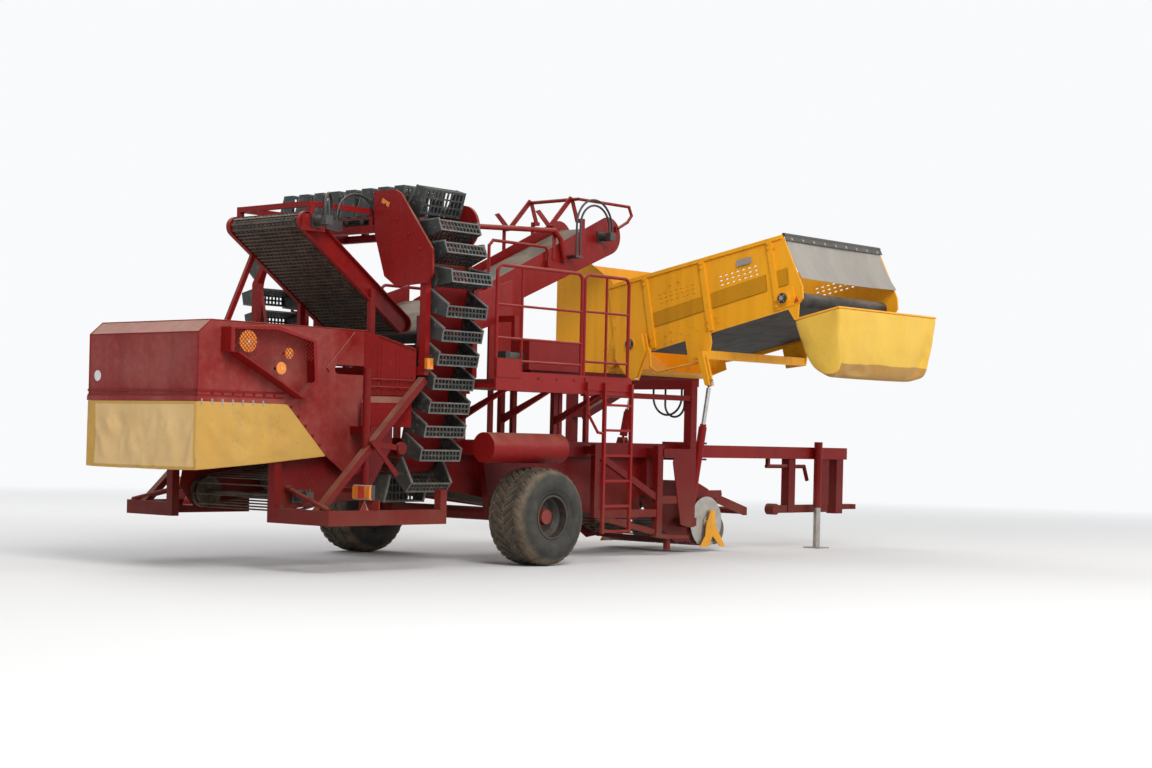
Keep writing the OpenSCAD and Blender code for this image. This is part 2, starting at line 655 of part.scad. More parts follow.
// inner faces of the picking table's walls, its pulleys in X and Z, and the height of the belt's middle
table_in = [-410, 1090];
table_pulleys = [[-770, 2190, 70], [400, 2583, 70]];
table_slope = (table_pulleys[1].y - table_pulleys[0].y) / (table_pulleys[1].x - table_pulleys[0].x);
function table_z(x) = table_pulleys[0].y + table_slope * (x - table_pulleys[0].x);
module picking_table() {
    t = sheet_t;
    x0 = -850;
    x1 = 480;
    color(RED) {
        for (y = [table_in[0] - t, table_in[1]]) across(y, y + t) polygon([[x0, table_z(x0) - 160],
            [x1, table_z(x1) - 160], [x1, table_z(x1) + 220], [x0, table_z(x0) + 220]]);
        // legs on the rails, with cross tubes under the belt
        for (x = [-700, 300]) {
            top = table_z(x) - 100;
            for (y = inner_post) block([x - 30, y[0], rail_top], [x + 30, y[1], top]);
            block([x - 30, inner_post[0][0], top - 60], [x + 30, table_in[1] + t, top]);
        }
        // board that turns the crop towards the transfer conveyor
        intersection() {
            linear_extrude(3000) polygon([[-350, table_in[0] - 1], [-338, table_in[0] - 1], [392, 340], [380, 346]]);
            across(table_in[0] - 1, 350) polygon([[x0, table_z(x0) + 84], [x1, table_z(x1) + 84],
                [x1, table_z(x1) + 200], [x0, table_z(x0) + 200]]);
        }
    }
}

module table_belt() {
    c = table_pulleys;
    color(BLACK) {
        across(table_in[0] + 20, table_in[1] - 20) belt_ring(c, 8);
        for (p = c) {
            across(table_in[0] + 22, table_in[1] - 22) translate([p.x, p.y]) circle(r = p.z - 6, $fn = 32);
            across(table_in[0] + seat, table_in[1] - seat) translate([p.x, p.y]) circle(d = 40, $fn = 24);
        }
    }
}

// Rounded guard over the web's drive, on a plinth on the platform's floor
module drive_guard() {
    y0 = -1010;
    y1 = -760;
    color(RED) {
        across(y0, y1) difference() {
            union() {
                translate([110, 1900]) square([730, 290]);
                translate([840, 2085]) circle(d = 210);
                translate([840, 1900]) square([105, 185]);
            }
            translate([840, 2190]) square([200, 10]);
        }
        block([180, y0 + 40, floor_z], [880, y1 - 40, 1901]);
    }
}

// BUNKER

module tower() {
    x0 = 2850;
    x1 = 2950;
    post = [-890, out_left + 10];
    color(DARK_RED) {
        block([x0, post[0], 300], [x1, post[0] + 100, 1900]);
        block([x0, post[1], rail_z], [x1, post[1] + 100, 1900]);
        block([x0, post[0] + 99, rail_z], [x1, out_right, rail_top]);
        block([x0, out_left, rail_z], [x1, post[1] + 1, rail_top]);
        block([x0, post[0], 1800], [x1, post[1] + 100, 1900]);
        // arms forward under the bunker's fixed end
        for (y = [700, 880]) block([x0, y, 1900], [bunker_x + bunker_w - 40, y + 80, 2000]);
        for (y = [700, 880]) beam([x1 - 20, y + 40, 1500], [3900, y + 40, 1920], 70, 80);
        block([x0, 700, 1480], [x1, 960, 1560]);
        // lugs of the outer lift cylinder
        for (x = [lift_x - 45, lift_x + 20])
            block([x, outer_base.x - 40, outer_base.y - 60], [x + 25, outer_base.x + 40, outer_base.y + 40]);
        block([x1 - 1, outer_base.x - 40, outer_base.y - 64], [lift_x + 45, outer_base.x + 40, outer_base.y - 44]);
        block([x1 - 1, post[0] + 20, 310], [x1 + 60, outer_base.x + 40, 400]);
        rod([lift_x - 50, outer_base.x, outer_base.y], [lift_x + 50, outer_base.x, outer_base.y], 30);
    }
}

// Hinge of the boom, along X, in Y and Z
boom_y = 550;
boom_z = 2120;
inside_x = bunker_x + wall_t + gap;
module bunker_end() {
    t = wall_t;
    far_x = bunker_x + bunker_w - wall_t - gap;
    left = 1450;
    color(YELLOW) {
        for (x = [inside_x, far_x - t]) along(x, x + t) difference() {
            polygon([[left, 3330], [1020, 3330], [600, 3060], [400, 2560], [300, 2110], [650, 2000], [980, 2000],
                [left, 2300]]);
            translate([250, 2250]) square([150, 330]);
        }
        // floor and left wall between them
        along(inside_x + 1, far_x - 1) polygon([[left, 3320], [left, 2300], [980, 2000], [650, 2000], [480, 2050],
            [480, 2062], [652, 2012], [976, 2012], [left - 12, 2308], [left - 12, 3320]]);
        for (x = [[bunker_x - 30, inside_x + 1], [far_x - 1, bunker_x + bunker_w + 30]])
            rod([x[0], boom_y, boom_z], [x[1], boom_y, boom_z], boom_pin_d, 48);
    }
}

// side of a bunker wall in Y and Z, the recessed strips between its ribs, and the belt's pulleys
bunker_side = [
    [430, 2190], [526, 2360], [635, 3000], [-1806, 3463], [-2080, 2900], [-2090, 2780], [-2010, 2690], [-60, 2250],
];
strip_y = [[-50, -790], [-860, -1600], [-1710, -1880]];
rib_y = [85, -720, -1635];
vent_at = [[-130, 2868], [-980, 3050]];
bunker_pulleys = [[-1870, 2780, 85], [170, 2320, 75]];
belt_slope = (bunker_pulleys[1].y - bunker_pulleys[0].y) / (bunker_pulleys[1].x - bunker_pulleys[0].x);
function floor_mid(y) = bunker_pulleys[1].y + belt_slope * (y - bunker_pulleys[1].x);
skin_t = 12;

module vents() {
    for (v = vent_at) for (row = [0 : 2]) for (k = [0 : 6])
        translate([v.x - 78 * k - 14 * row, v.y + 16 * k - 46 * row]) rotate(-11) square([44, 16], center = true);
}

module bunker_walls() {
    t = wall_t;
    x1 = bunker_x + bunker_w;
    pin_in = bunker_pulleys[1];
    pin_out = bunker_pulleys[0];
    color(YELLOW) {
        for (x = [bunker_x, x1 - t]) along(x, x + t) difference() {
            polygon(bunker_side);
            vents();
        }
        // outer skin, left open over the strips
        for (x = [bunker_x - skin_t, x1 - 1]) along(x, x + skin_t + 1) difference() {
            polygon(bunker_side);
            vents();
            for (s = strip_y) polygon([[s[0], 2660 - 0.24 * s[0]], [s[1], 2660 - 0.24 * s[1]],
                [s[1] - 25, 2500 - 0.228 * s[1]], [s[0] - 25, 2500 - 0.228 * s[0]]]);
        }
        // lugs down to the hinge pins
        for (x = [bunker_x - 24, x1 - t]) along(x, x + t + 24) difference() {
            union() {
                polygon([[526, 2420], [boom_y + 55, boom_z], [boom_y - 55, boom_z], [380, 2420]]);
                translate([boom_y, boom_z]) circle(r = 55);
            }
            translate([boom_y, boom_z]) circle(d = boom_pin_d + 2 * pin_gap);
        }
        // rim and ribs
        for (x = [bunker_x - 34, x1 - 1]) along(x, x + 35)
            polygon([[635, 3000], [629, 2960], [-1806, 3423], [-1806, 3463]]);
        for (x = [bunker_x - 34, x1 + skin_t - 1]) for (y = rib_y) along(x, x + 23)
            polygon([[y + 35, 3085 - 0.19 * y], [y - 35, 3098 - 0.19 * y], [y - 190, 2300 - 0.2256 * y], [y - 120, 2284 - 0.2256 * y]]);
        // bars across between the belt's two runs, and under it
        for (y = [0, -600, -1300]) block([bunker_x, y, floor_mid(y) - 40], [x1, y + 70, floor_mid(y) + 24]);
        block([bunker_x - 24, -850, 2150], [x1, -760, 2240]);
        for (x = [bunker_x - 24, x1 - 25]) along(x, x + 25)
            polygon([[-580, 2120], [-520, 2370], [-860, 2450], [-885, 2330], [-850, 2150]]);
        // bent bar under the wall
        bent_rod([[bunker_x - 30, -20, 2290], [bunker_x - 30, -40, 2060], [bunker_x - 30, -140, 2010],
            [bunker_x - 30, -740, 2110], [bunker_x - 30, -760, 2160]], 30);
        // bearings of the belt's shafts
        along(bunker_x - 24, bunker_x - skin_t + 1)
            polygon([[-1770, 2870], [-1960, 2905], [-2000, 2710], [-1800, 2670]]);
        rod([bunker_x - 52, pin_out.x, pin_out.y], [bunker_x - 23, pin_out.x, pin_out.y], 120, 32);
        rod([bunker_x - 66, pin_out.x, pin_out.y], [bunker_x - 51, pin_out.x, pin_out.y], 60, 32);
        rod([lift_x - 64, pin_in.x, pin_in.y], [lift_x - 44, pin_in.x, pin_in.y], 120, 32);
        rod([lift_x - 76, pin_in.x, pin_in.y], [bunker_x + 1, pin_in.x, pin_in.y], 60, 32);
        // lugs and bars that hold the bag's rim
        along(bag_x[0] - 4, bunker_x + 8) bag_lug();
        along(x1 - 8, bag_x[1] + 4) bag_lug();
        bag_frame();
        // brackets of the lift cylinders
        for (x = [lift_x - 45, lift_x + 20]) {
            along(x, x + 25) polygon([[inner_eye.x - 34, inner_eye.y - 30], [inner_eye.x + 30, inner_eye.y - 30],
                [400, 2150], [400, 2400], [20, 2440], [-30, 2250]]);
            along(x, x + 25) polygon([[outer_eye.x - 30, outer_eye.y - 30], [outer_eye.x + 30, outer_eye.y - 30], [-760, 2230], [-850, 2230]]);
        }
        block([lift_x - 45, 60, 2380], [bunker_x + 1, 330, 2410]);
        block([lift_x - 45, -850, 2160], [bunker_x + 1, -760, 2230]);
        for (p = [inner_eye, outer_eye]) rod([lift_x - 50, p.x, p.y], [lift_x + 50, p.x, p.y], 30);
    }
}

module bag_lug() {
    polygon([[-1880, 2700], [-2040, 2716], [-2030, 2555], [-1990, 2548]]);
}

module bunker_belt() {
    c = bunker_pulleys;
    x0 = bunker_x + wall_t;
    x1 = bunker_x + bunker_w - wall_t;
    color(BLACK) {
        along(x0 + 12, x1 - 12) difference() {
            hull_of(c);
            hull_of(grown(c, -14));
        }
        for (p = c) {
            along(x0 + 14, x1 - 14) translate([p.x, p.y]) circle(r = p.z - 12, $fn = 32);
            along(x0 + seat, x1 - seat) translate([p.x, p.y]) circle(d = 50, $fn = 24);
        }
    }
}

// Outline round two pulleys
module hull_of(c) {
    polygon(belt_points([c[0], c[1]]));
}

module bunker_flap() {
    color(GREY) along(bunker_x + wall_t + seat, bunker_x + bunker_w - wall_t - seat)
        polygon([[-1800, 3470], [-1816, 3480], [-2070, 3000], [-2056, 2990]]);
}

// rim of the bag in Y and Z, from the bunker's end outwards
bag_rim = [[-1980, 2540], [bag_y, 2660]];
bag_x = [bunker_x - 10, bunker_x + bunker_w + 50];
bag_bar_d = 24;
module bag_frame() {
    up = bag_bar_d / 2 + seat;
    end_x = [bag_x[0] + 8, bag_x[1] - 8];
    color(YELLOW) {
        for (x = end_x) rod([x, bag_rim[0].x - 20, bag_rim[0].y + up + 4], [x, bag_rim[1].x + 12, bag_rim[1].y + up], bag_bar_d);
        rod([end_x[0] - 12, bag_rim[1].x + 14, bag_rim[1].y + up], [end_x[1] + 12, bag_rim[1].x + 14, bag_rim[1].y + up], bag_bar_d);
    }
}
module bag() {
    t = 14;
    color(CANVAS) difference() {
        along(bag_x[0], bag_x[1]) polygon([
            bag_rim[0], bag_rim[1], [bag_y + 60, 2150], [-2350, 1960], [-2150, 2030]
        ]);
        along(bag_x[0] + t, bag_x[1] - t) polygon([
            [-1995, 2560], [bag_y + 15, 2680], [bag_y + 75, 2160], [-2350, 1975], [-2165, 2045]
        ]);
    }
}

// Lift cylinders stand in one plane across the machine, and these are their ends in Y and Z
lift_x = 3110;
outer_base = [-680, 360];
outer_eye = [-930, 1880];
inner_base = [300, 1230];
inner_eye = [150, 1930];
module eye(p, d, bore, w) {
    along(lift_x - w / 2, lift_x + w / 2) translate(p) difference() {
        circle(d = d);
        circle(d = bore);
    }
}
function toward(a, b, d) = a + (b - a) * d / norm(b - a);
// round stretch of a cylinder from one distance to another, measured from its base pin
module lift_part(a, b, from, to, d) {
    p = toward(a, b, from);
    q = toward(a, b, to);
    rod([lift_x, p.x, p.y], [lift_x, q.x, q.y], d, 32);
}
// slack of a rod's eye on its pin
eye_slack = 15;
eye_pin = 30;
eye_hole = eye_pin + 2 * eye_slack;
eye_rim = eye_hole + 26;
// the rod slides in the barrel's bore, which starts at the given depth and leaves the barrel at its gland
module lift_barrel(a, b, length, bore_from) {
    color(RED) difference() {
        union() {
            eye(a, 76, eye_pin + 2 * pin_gap, 30);
            lift_part(a, b, 30, 56, 26);
            lift_part(a, b, 55, length, 90);
            lift_part(a, b, length - 1, length + 30, 70);
        }
        lift_part(a, b, bore_from, length + 31, lift_rod_d + 2 * pin_gap);
    }
}
module lift_rod(a, b, from) {
    far = norm(b - a);
    color(STEEL) {
        eye(b, eye_rim, eye_hole, 30);
        lift_part(a, b, from, far - 58, lift_rod_d);
        lift_part(a, b, far - 59, far - eye_rim / 2 + 6, 26);
    }
}
lift_rod_d = 50;
outer_len = 1050;
inner_len = 330;
module outer_barrel() { lift_barrel(outer_base, outer_eye, outer_len, 600); }
module outer_rod() { lift_rod(outer_base, outer_eye, 790); }
module inner_barrel() { lift_barrel(inner_base, inner_eye, inner_len, 200); }
module inner_rod() { lift_rod(inner_base, inner_eye, 270); }

// TRANSFER CONVEYOR, on a column that stands on the frame

transfer_y = [350, 1100];
transfer_pulleys = [[640, 2560, 90], [2840, 3530, 100]];
module transfer_trough() {
    t = sheet_t;
    a = transfer_pulleys[0];
    b = transfer_pulleys[1];
    color(RED) {
        for (y = [transfer_y[0], transfer_y[1] - t]) across(y, y + t) hull() {
            translate([a.x, a.y]) circle(r = 150, $fn = 32);
            translate([b.x, b.y]) circle(r = 210, $fn = 32);
        }
        for (f = [0.25, 0.75]) rod([a.x + (b.x - a.x) * f, transfer_y[0] + 1, a.y + (b.y - a.y) * f],
            [a.x + (b.x - a.x) * f, transfer_y[1] - 1, a.y + (b.y - a.y) * f], 60);
        // column of folded sheets, down to a cross tube on the rails
        for (y = [transfer_y[0] + t, transfer_y[1] - 2 * t - 30]) {
            block([960, y, 1840], [968, y + 30, 2660]);
            block([1430, y, 1840], [1438, y + 30, 2860]);
        }
        for (y = [transfer_y[0], transfer_y[1] - t])
            across(y, y + t) polygon([[950, 1840], [1440, 1840], [1440, 2870], [950, 2660]]);
        for (x = [960, 1380]) {
            block([x, inner_post[0][0], 1790], [x + 50, transfer_y[1] + 40, 1845]);
            for (y = inner_post) block([x, y[0], rail_top], [x + 50, y[1], 1791]);
        }
    }
}

module transfer_belt() {
    c = transfer_pulleys;
    in = [transfer_y[0] + sheet_t, transfer_y[1] - sheet_t];
    color(BLACK) {
        across(in[0] + 45, in[1] - 45) belt_ring(c, 8);
        for (p = c) across(in[0] + 46, in[1] - 46) translate([p.x, p.y]) circle(r = p.z - 6, $fn = 32);
        for (p = c) across(in[0] + seat, in[1] - seat) translate([p.x, p.y]) circle(d = 40, $fn = 24);
    }
}

// DRAWBAR

drawbar_y = -600;
pivot_x = 3300;
drawbar_z0 = rail_z + 5;
drawbar_z1 = rail_top - 5;
module drawbar() {
    y0 = drawbar_y - drawbar_w / 2;
    y1 = drawbar_y + drawbar_w / 2;
    color(RED) {
        difference() {
            union() {
                block([pivot_x, y0, drawbar_z0], [6200, y1, drawbar_z1]);
                translate([pivot_x, drawbar_y, drawbar_z0]) cylinder(d = drawbar_w, h = drawbar_z1 - drawbar_z0);
            }
            translate([pivot_x, drawbar_y, drawbar_z0 - 1]) cylinder(d = pivot_d + 2 * pin_gap, h = rail_h);
        }
        // lugs of the steering cylinder
        for (z = [steer_z - 40, steer_z + 15])
            block([steer_eye.x - 35, y1 - 1, z], [steer_eye.x + 35, steer_eye.y + 35, z + 25]);
        rod([steer_eye.x, steer_eye.y, steer_z - 50], [steer_eye.x, steer_eye.y, steer_z + 50], 30);
    }
}

// Neck under the drawbar's front end, with the tow eye
module tow_neck() {
    w = drawbar_w / 2 - 10;
    eye_t = 60;
    color(RED) {
        block([6000, drawbar_y - w, eye_z - 80], [6140, drawbar_y + w, drawbar_z0]);
        difference() {
            union() {
                block([6139, drawbar_y - 50, eye_z - eye_t / 2], [eye_x, drawbar_y + 50, eye_z + eye_t / 2]);
                translate([eye_x, drawbar_y, eye_z - eye_t / 2]) cylinder(d = eye_d, h = eye_t);
            }
            translate([eye_x, drawbar_y, eye_z - eye_t / 2 - 1]) cylinder(d = eye_bore, h = eye_t + 2);
        }
    }
}

// Legs under the drawbar with a low beam, and a tube beside them
module drawbar_frame() {
    color(RED) {
        block([5030, drawbar_y - 55, 420], [5160, drawbar_y + 55, drawbar_z0]);
        block([5720, drawbar_y - 55, 505], [5860, drawbar_y + 55, drawbar_z0]);
        block([4760, drawbar_y - 45, 420], [5859, drawbar_y + 45, 510]);
        rod([4780, drawbar_y - 60, 465], [4780, drawbar_y + 60, 465], 130, 32);
        bent_rod([[4620, drawbar_y - 20, 966], [5380, drawbar_y - 20, 966], [5450, drawbar_y - 20, 800]], 46);
        block([4630, drawbar_y - 40, 960], [4670, drawbar_y, drawbar_z0]);
    }
}

jack_x = 5500;
jack_y = drawbar_y - drawbar_w / 2 - 60;
jack_d = 84;
module jack_tube() {
    color(RED) {
        difference() {
            rod([jack_x, jack_y, 480], [jack_x, jack_y, 1260], 100, 32);
            rod([jack_x, jack_y, 479], [jack_x, jack_y, 1220], jack_d + 2 * pin_gap, 32);
        }
        block([jack_x - 60, jack_y + 45, drawbar_z0], [jack_x + 60, drawbar_y - drawbar_w / 2, drawbar_z1]);
    }
}
module jack_leg() {
    color(STEEL) {
        rod([jack_x, jack_y, 10], [jack_x, jack_y, 800], jack_d, 32);
        block([jack_x - 110, jack_y - 110, 0], [jack_x + 110, jack_y + 110, 14]);
    }
}

// Steering cylinder, level beside the drawbar
steer_z = (drawbar_z0 + drawbar_z1) / 2;
steer_base = [3060, -180];
steer_eye = [3750, -430];
module flat_eye(p, d, bore) {
    translate([p.x, p.y, steer_z - 12]) difference() {
        cylinder(d = d, h = 24);
        translate([0, 0, -1]) cylinder(d = bore, h = 26);
    }
}
module steer_part(from, to, d) {
    p = toward(steer_base, steer_eye, from);
    q = toward(steer_base, steer_eye, to);
    rod([p.x, p.y, steer_z], [q.x, q.y, steer_z], d, 32);
}
steer_len = 440;
steer_rod_d = 40;
module steer_barrel() {
    color(BLACK) difference() {
        union() {
            flat_eye(steer_base, 76, eye_pin + 2 * pin_gap);
            steer_part(34, 51, 24);
            steer_part(50, steer_len, 80);
            steer_part(steer_len - 1, steer_len + 25, 60);
        }
        steer_part(200, steer_len + 26, steer_rod_d + 2 * pin_gap);
    }
}
module steer_rod() {
    far = norm(steer_eye - steer_base);
    color(STEEL) {
        flat_eye(steer_eye, eye_rim, eye_hole);
        steer_part(345, far - 66, steer_rod_d);
        steer_part(far - 67, far - eye_rim / 2 + 4, 24);
    }
}

// DIGGING UNIT, hinged under the rails

digger_x = 2400;
digger_z = 700;
digger_pin_d = 50;
digger_y = [in_right + gap, in_left - gap];
digger_pulleys = [[2445, 550, 90], [3080, 250, 75]];
module digger_frame() {
    t = 12;
    color(RED) {
        for (y = [digger_y[0], digger_y[1] - t]) across(y, y + t) polygon([
            [2330, 760], [2460, 780], [3300, 800], [3560, 700], [3560, 560], [3300, 480], [3250, 140], [3000, 110],
            [2500, 420], [2330, 640]]);
        for (y = [[digger_y[0] - 80, digger_y[0] + 1], [digger_y[1] - 1, digger_y[1] + 80]])
            rod([digger_x, y[0], digger_z], [digger_x, y[1], digger_z], digger_pin_d, 48);
        rod([3260, digger_y[0] + 1, 740], [3260, digger_y[1] - 1, 740], 110);
        block([3180, digger_y[0] + 1, 120], [3240, digger_y[1] - 1, 160]);
        // shares
        pitch = (digger_y[1] - digger_y[0] - 24) / share_count;
        for (k = [0 : share_count - 1]) translate([0, digger_y[0] + 12 + (k + 0.5) * pitch, 0])
            across(-pitch / 2 + 10, pitch / 2 - 10) polygon([[3200, 130], [3200, 150], [3440, 82], [3450, 70]]);
        // arms of the coulters and of the depth rollers
        for (y = [digger_y[0], digger_y[1] - t])
            block([3440, y, 600], [3800, y + t, 690]);
        rod([3780, digger_y[0] + 1, 645], [3780, digger_y[1] - 1, 645], 60);
        for (y = roller_y) for (e = [-1, 1])
            across(y + e * 190 - 6, y + e * 190 + 6) polygon([[3740, 660], [3820, 660], [roller_x + 40, roller_z - 30], [roller_x - 40, roller_z - 30]]);
        for (y = roller_y) rod([roller_x, y - 190, roller_z], [roller_x, y + 190, roller_z], 30);
        for (e = [-1, 1]) {
            y = e < 0 ? digger_y[0] : digger_y[1];
            across(min(y, y - e * t), max(y, y - e * t)) polygon([[coulter_x - 40, 620], [coulter_x + 50, 620],
                [coulter_x + 30, coulter_z - 30], [coulter_x - 30, coulter_z - 30]]);
        }
        // arms to the low tube in front
        for (y = [digger_y[0], digger_y[1] - t]) across(y, y + t)
            polygon([[3700, 640], [3800, 625], [4290, 490], [4290, 400], [4230, 400], [3700, 550]]);
        rod([4250, digger_y[0] + 1, 450], [4250, digger_y[1] - 1, 450], 76);
    }
}
roller_x = 3840;
roller_z = roller_d / 2 + 70;
roller_y = [channel_y - 375, channel_y + 375];
coulter_x = 3480;
coulter_z = coulter_d / 2 + 60;

// Yellow plates outside the coulters, with the axles that the coulters turn on
module share_guard() {
    color(YELLOW) for (e = [-1, 1]) {
        y = e < 0 ? digger_y[0] - 66 - 10 : digger_y[1] + 66;
        side_y = e < 0 ? digger_y[0] : digger_y[1];
        rod([coulter_x, side_y, coulter_z], [coulter_x, side_y + e * 67, coulter_z], 40);
        across(y, y + 10) polygon([[3330, 60], [3425, 180], [3440, 300], [3520, 470], [3590, 470], [3600, 300], [3790, 60],
            [3700, 60], [3560, 180], [3480, 60]]);
    }
}

module digger_web() {
    color(BLACK) rod_web(digger_pulleys, digger_y[0] + 20, digger_y[1] - 20, 16, 90, 50,
        digger_y[0] + 12 + seat, digger_y[1] - 12 - seat);
}
module coulter(side) {
    y = side < 0 ? digger_y[0] : digger_y[1];
    translate([coulter_x, y + side * 34, coulter_z]) rotate([90, 0, 0]) difference() {
        union() {
            cylinder(d = coulter_d, h = 8, center = true, $fn = 64);
            cylinder(d = 120, h = 36, center = true);
        }
        cylinder(d = 40 + 2 * pin_gap, h = 60, center = true);
    }
}
module coulter_right() { color(STEEL) coulter(-1); }
module coulter_left() { color(STEEL) coulter(1); }
module depth_rollers() {
    color(BLACK) for (y = roller_y) translate([roller_x, y, roller_z]) rotate([90, 0, 0]) difference() {
        cylinder(d = roller_d, h = 340, center = true);
        cylinder(d = 30 + 2 * pin_gap, h = 400, center = true);
    }
}

// Rear lamps on brackets, triangles below them, and side lamps on the ring's posts
lamp_x = -2250;
module tail_lamps() {
    color(RED) for (side = [-1, 1]) {
        edge = side * (left_y - 60);
        mid = side * (left_y - 240);
        foot = mid - side * 80;
        block([lamp_x, min(foot, edge), 560], [lamp_x + 12, max(foot, edge), 651]);
        block([lamp_x - 50, mid - 115, 650], [lamp_x + 12, mid + 115, 780]);
        for (k = [-1 : 1]) block([lamp_x - 62, mid + 74 * k - 33, 662], [lamp_x - 49, mid + 74 * k + 33, 768]);
        along(lamp_x - 9, lamp_x + 1) polygon([[mid - 70, 512], [mid + 70, 512], [mid, 638]]);
        block([ring_back - 75, min(side * 1240, side * 1264), 1820], [ring_back - 20, max(side * 1240, side * 1264), 1950]);
    }
}

// SMALLER PANELS, FRAMES AND FITTINGS

// Panels and levers between the rear hood and the ring
module side_panels() {
    color(RED) {
        // shelf beside the ring
        block([-1689, -900, 1460], [ring_back - 76, out_right + 1, 1580]);
        block([-1689, -898, rail_top], [-1681, out_right + 60, 1461]);
        // sheet that reaches down to the rear frame's post
        across(-1008, -1000) polygon([[-1700, 1300], [-1700, 1120], [-1980, 700], [-2080, 700], [-1960, 1300]]);
        block([-1960, -1001, 1230], [-1700, hood_y0, 1300]);
        block([-2080, -1001, 700], [-1990, out_right, 740]);
        // lever and its round end
        rod([-2180, -1257, 1150], [-2180, -1290, 1150], 50);
        across(-1290, -1276) polygon([[-2230, 1170], [-2190, 1190], [-1870, 880], [-1910, 850]]);
        across(-1290, -1276) polygon([[-2200, 1175], [-2190, 1125], [-1850, 1085], [-1850, 1135]]);
        rod([-1845, -1300, 1110], [-1845, -1262, 1110], 110, 32);
    }
}

// Frame at the side of the digging unit, between the platform and the tower
module side_frame() {
    y0 = -880;
    y1 = -810;
    color(RED) {
        block([plat_x[1], y0, 1672], [2850, y1, 1728]);
        // post with its bracket on the rail, and plates at the tower's foot
        block([2310, y0, 210], [2400, y1, rail_top - 20]);
        block([2310, y1 - 1, 1070], [2400, out_right, 1150]);
        across(y0 - 10, y0 + 1) polygon([[2600, 1150], [2560, 1000], [2710, 330], [2850, 300], [2850, 1150]]);
        block([2399, y0 - 10, 1060], [2602, y0 + 1, 1150]);
        block([2399, y0, 560], [2850, y0 + 40, 640]);
        // braces behind the ladder
        beam([1300, y0 + 35, 1100], [2340, y0 + 35, 620], 40, 70);
        block([1290, y0 + 5, 420], [2311, y0 + 65, 500]);
        block([1290, y0 + 5, 421], [1360, y0 + 65, 1180]);
        block([1290, y0 + 64, 1080], [1360, out_right, 1160]);
        beam([1340, y0 + 35, 440], [2330, y0 + 35, 250], 40, 60);
        // skid under the post
        across(y0 - 20, y1 + 20) polygon([[2280, 250], [2280, 210], [2480, 180], [2840, 180], [2840, 210], [2480, 225]]);
        block([2500, y0 + 10, 60], [2560, y1 - 10, 200]);
    }
}

// Tubes above the transfer conveyor
module overhead_bar() {
    y = transfer_y[0] - 34;
    color(RED) {
        // hose carrier from the ring's frame to the conveyor's side
        block([-ring_front + 25, y - 30, 3190], [-ring_front + 75, y + 30, 3350]);
        bent_rod([[-ring_front + 50, y, 3345], [1900, y, 3500], [2000, y, 3420], [2070, y, 3200]], 56);
        block([2040, y - 20, 3170], [2100, transfer_y[0], 3230]);
        // hand rail on the conveyor's side
        bent_rod([[880, y, 2800], [880, y, 3250], [940, y, 3310], [1760, y, 3310], [1810, y, 3250], [1810, y, 3140]], 34);
        for (p = [[880, 2790], [1810, 3130]]) block([p.x - 25, y - 20, p.y - 30], [p.x + 25, transfer_y[0], p.y + 30]);
        // levelling arms above the belt
        for (k = [0, 1]) {
            wall = k == 0 ? transfer_y[0] - 8 : transfer_y[1];
            arm = k == 0 ? transfer_y[0] + 60 : transfer_y[1] - 74;
            low = min(wall, arm);
            high = max(wall + 8, arm + 14);
            across(arm, arm + 14) polygon([[1900, 3560], [1960, 3540], [2300, 3890], [2250, 3920]]);
            across(arm, arm + 14) polygon([[2250, 3920], [2310, 3900], [2420, 3640], [2360, 3640]]);
            across(arm, arm + 14) polygon([[1700, 3700], [1760, 3720], [1960, 3560], [1910, 3530]]);
            block([1905, wall, 3180], [1955, wall + 8, 3575]);
            rod([1930, low + 1, 3555], [1930, high - 1, 3555], 40);
            block([2370, wall, 3400], [2430, wall + 8, 3641]);
            block([2370, low, 3640], [2430, high, 3680]);
        }
        rod([2280, transfer_y[0] + 61, 3885], [2280, transfer_y[1] - 61, 3885], 40);
        bent_rod([[2280, y, 3885], [3150, y, 3885], [3200, y, 3790], [3130, y, 3710], [2960, y, 3620]], 34);
        rod([2280, y, 3885], [2280, transfer_y[0] + 62, 3885], 37);
        block([2935, y, 3590], [2985, transfer_y[0], 3640]);
    }
}

// Hydraulic motor on a face that looks to -Y at p
module motor(p) {
    translate(p) {
        block([-60, -18, -60], [60, 0, 60]);
        rod([0, -17, 0], [0, -121, 0], 96, 32);
        block([-42, -190, -42], [42, -120, 42]);
        for (x = [-22, 22]) rod([x, -155, 41], [x, -155, 66], 24, 16);
    }
}

// faces of the motors, and their valve block
web_motor = [steep_pulleys[0].x + 40, steep_y[0] - 130, steep_pulleys[0].y];
rise_motor = [2700, transfer_y[0], 3500];
rear_motor = [rear_web_pulleys[0].x, in_right - 4 - sheet_t, rear_web_pulleys[0].y];
valve = [[-2160, steep_y[0] - 130, 3090], [-1960, steep_y[0] - 70, 3180]];
module hydraulics() {
    color(BLACK) {
        for (m = [web_motor, rise_motor, rear_motor]) motor(m);
        block(valve[0], valve[1]);
        for (x = [-2130, -2070, -2010]) rod([x, valve[0].y + 30, 3179], [x, valve[0].y + 30, 3204], 26, 16);
        // motor of the guarded drive
        rod([-90, -880, 2010], [110, -880, 2010], 116, 32);
        block([-150, -940, 1950], [-88, -820, 2070]);
        block([90, -950, 1940], [110, -810, 2080]);
    }
}

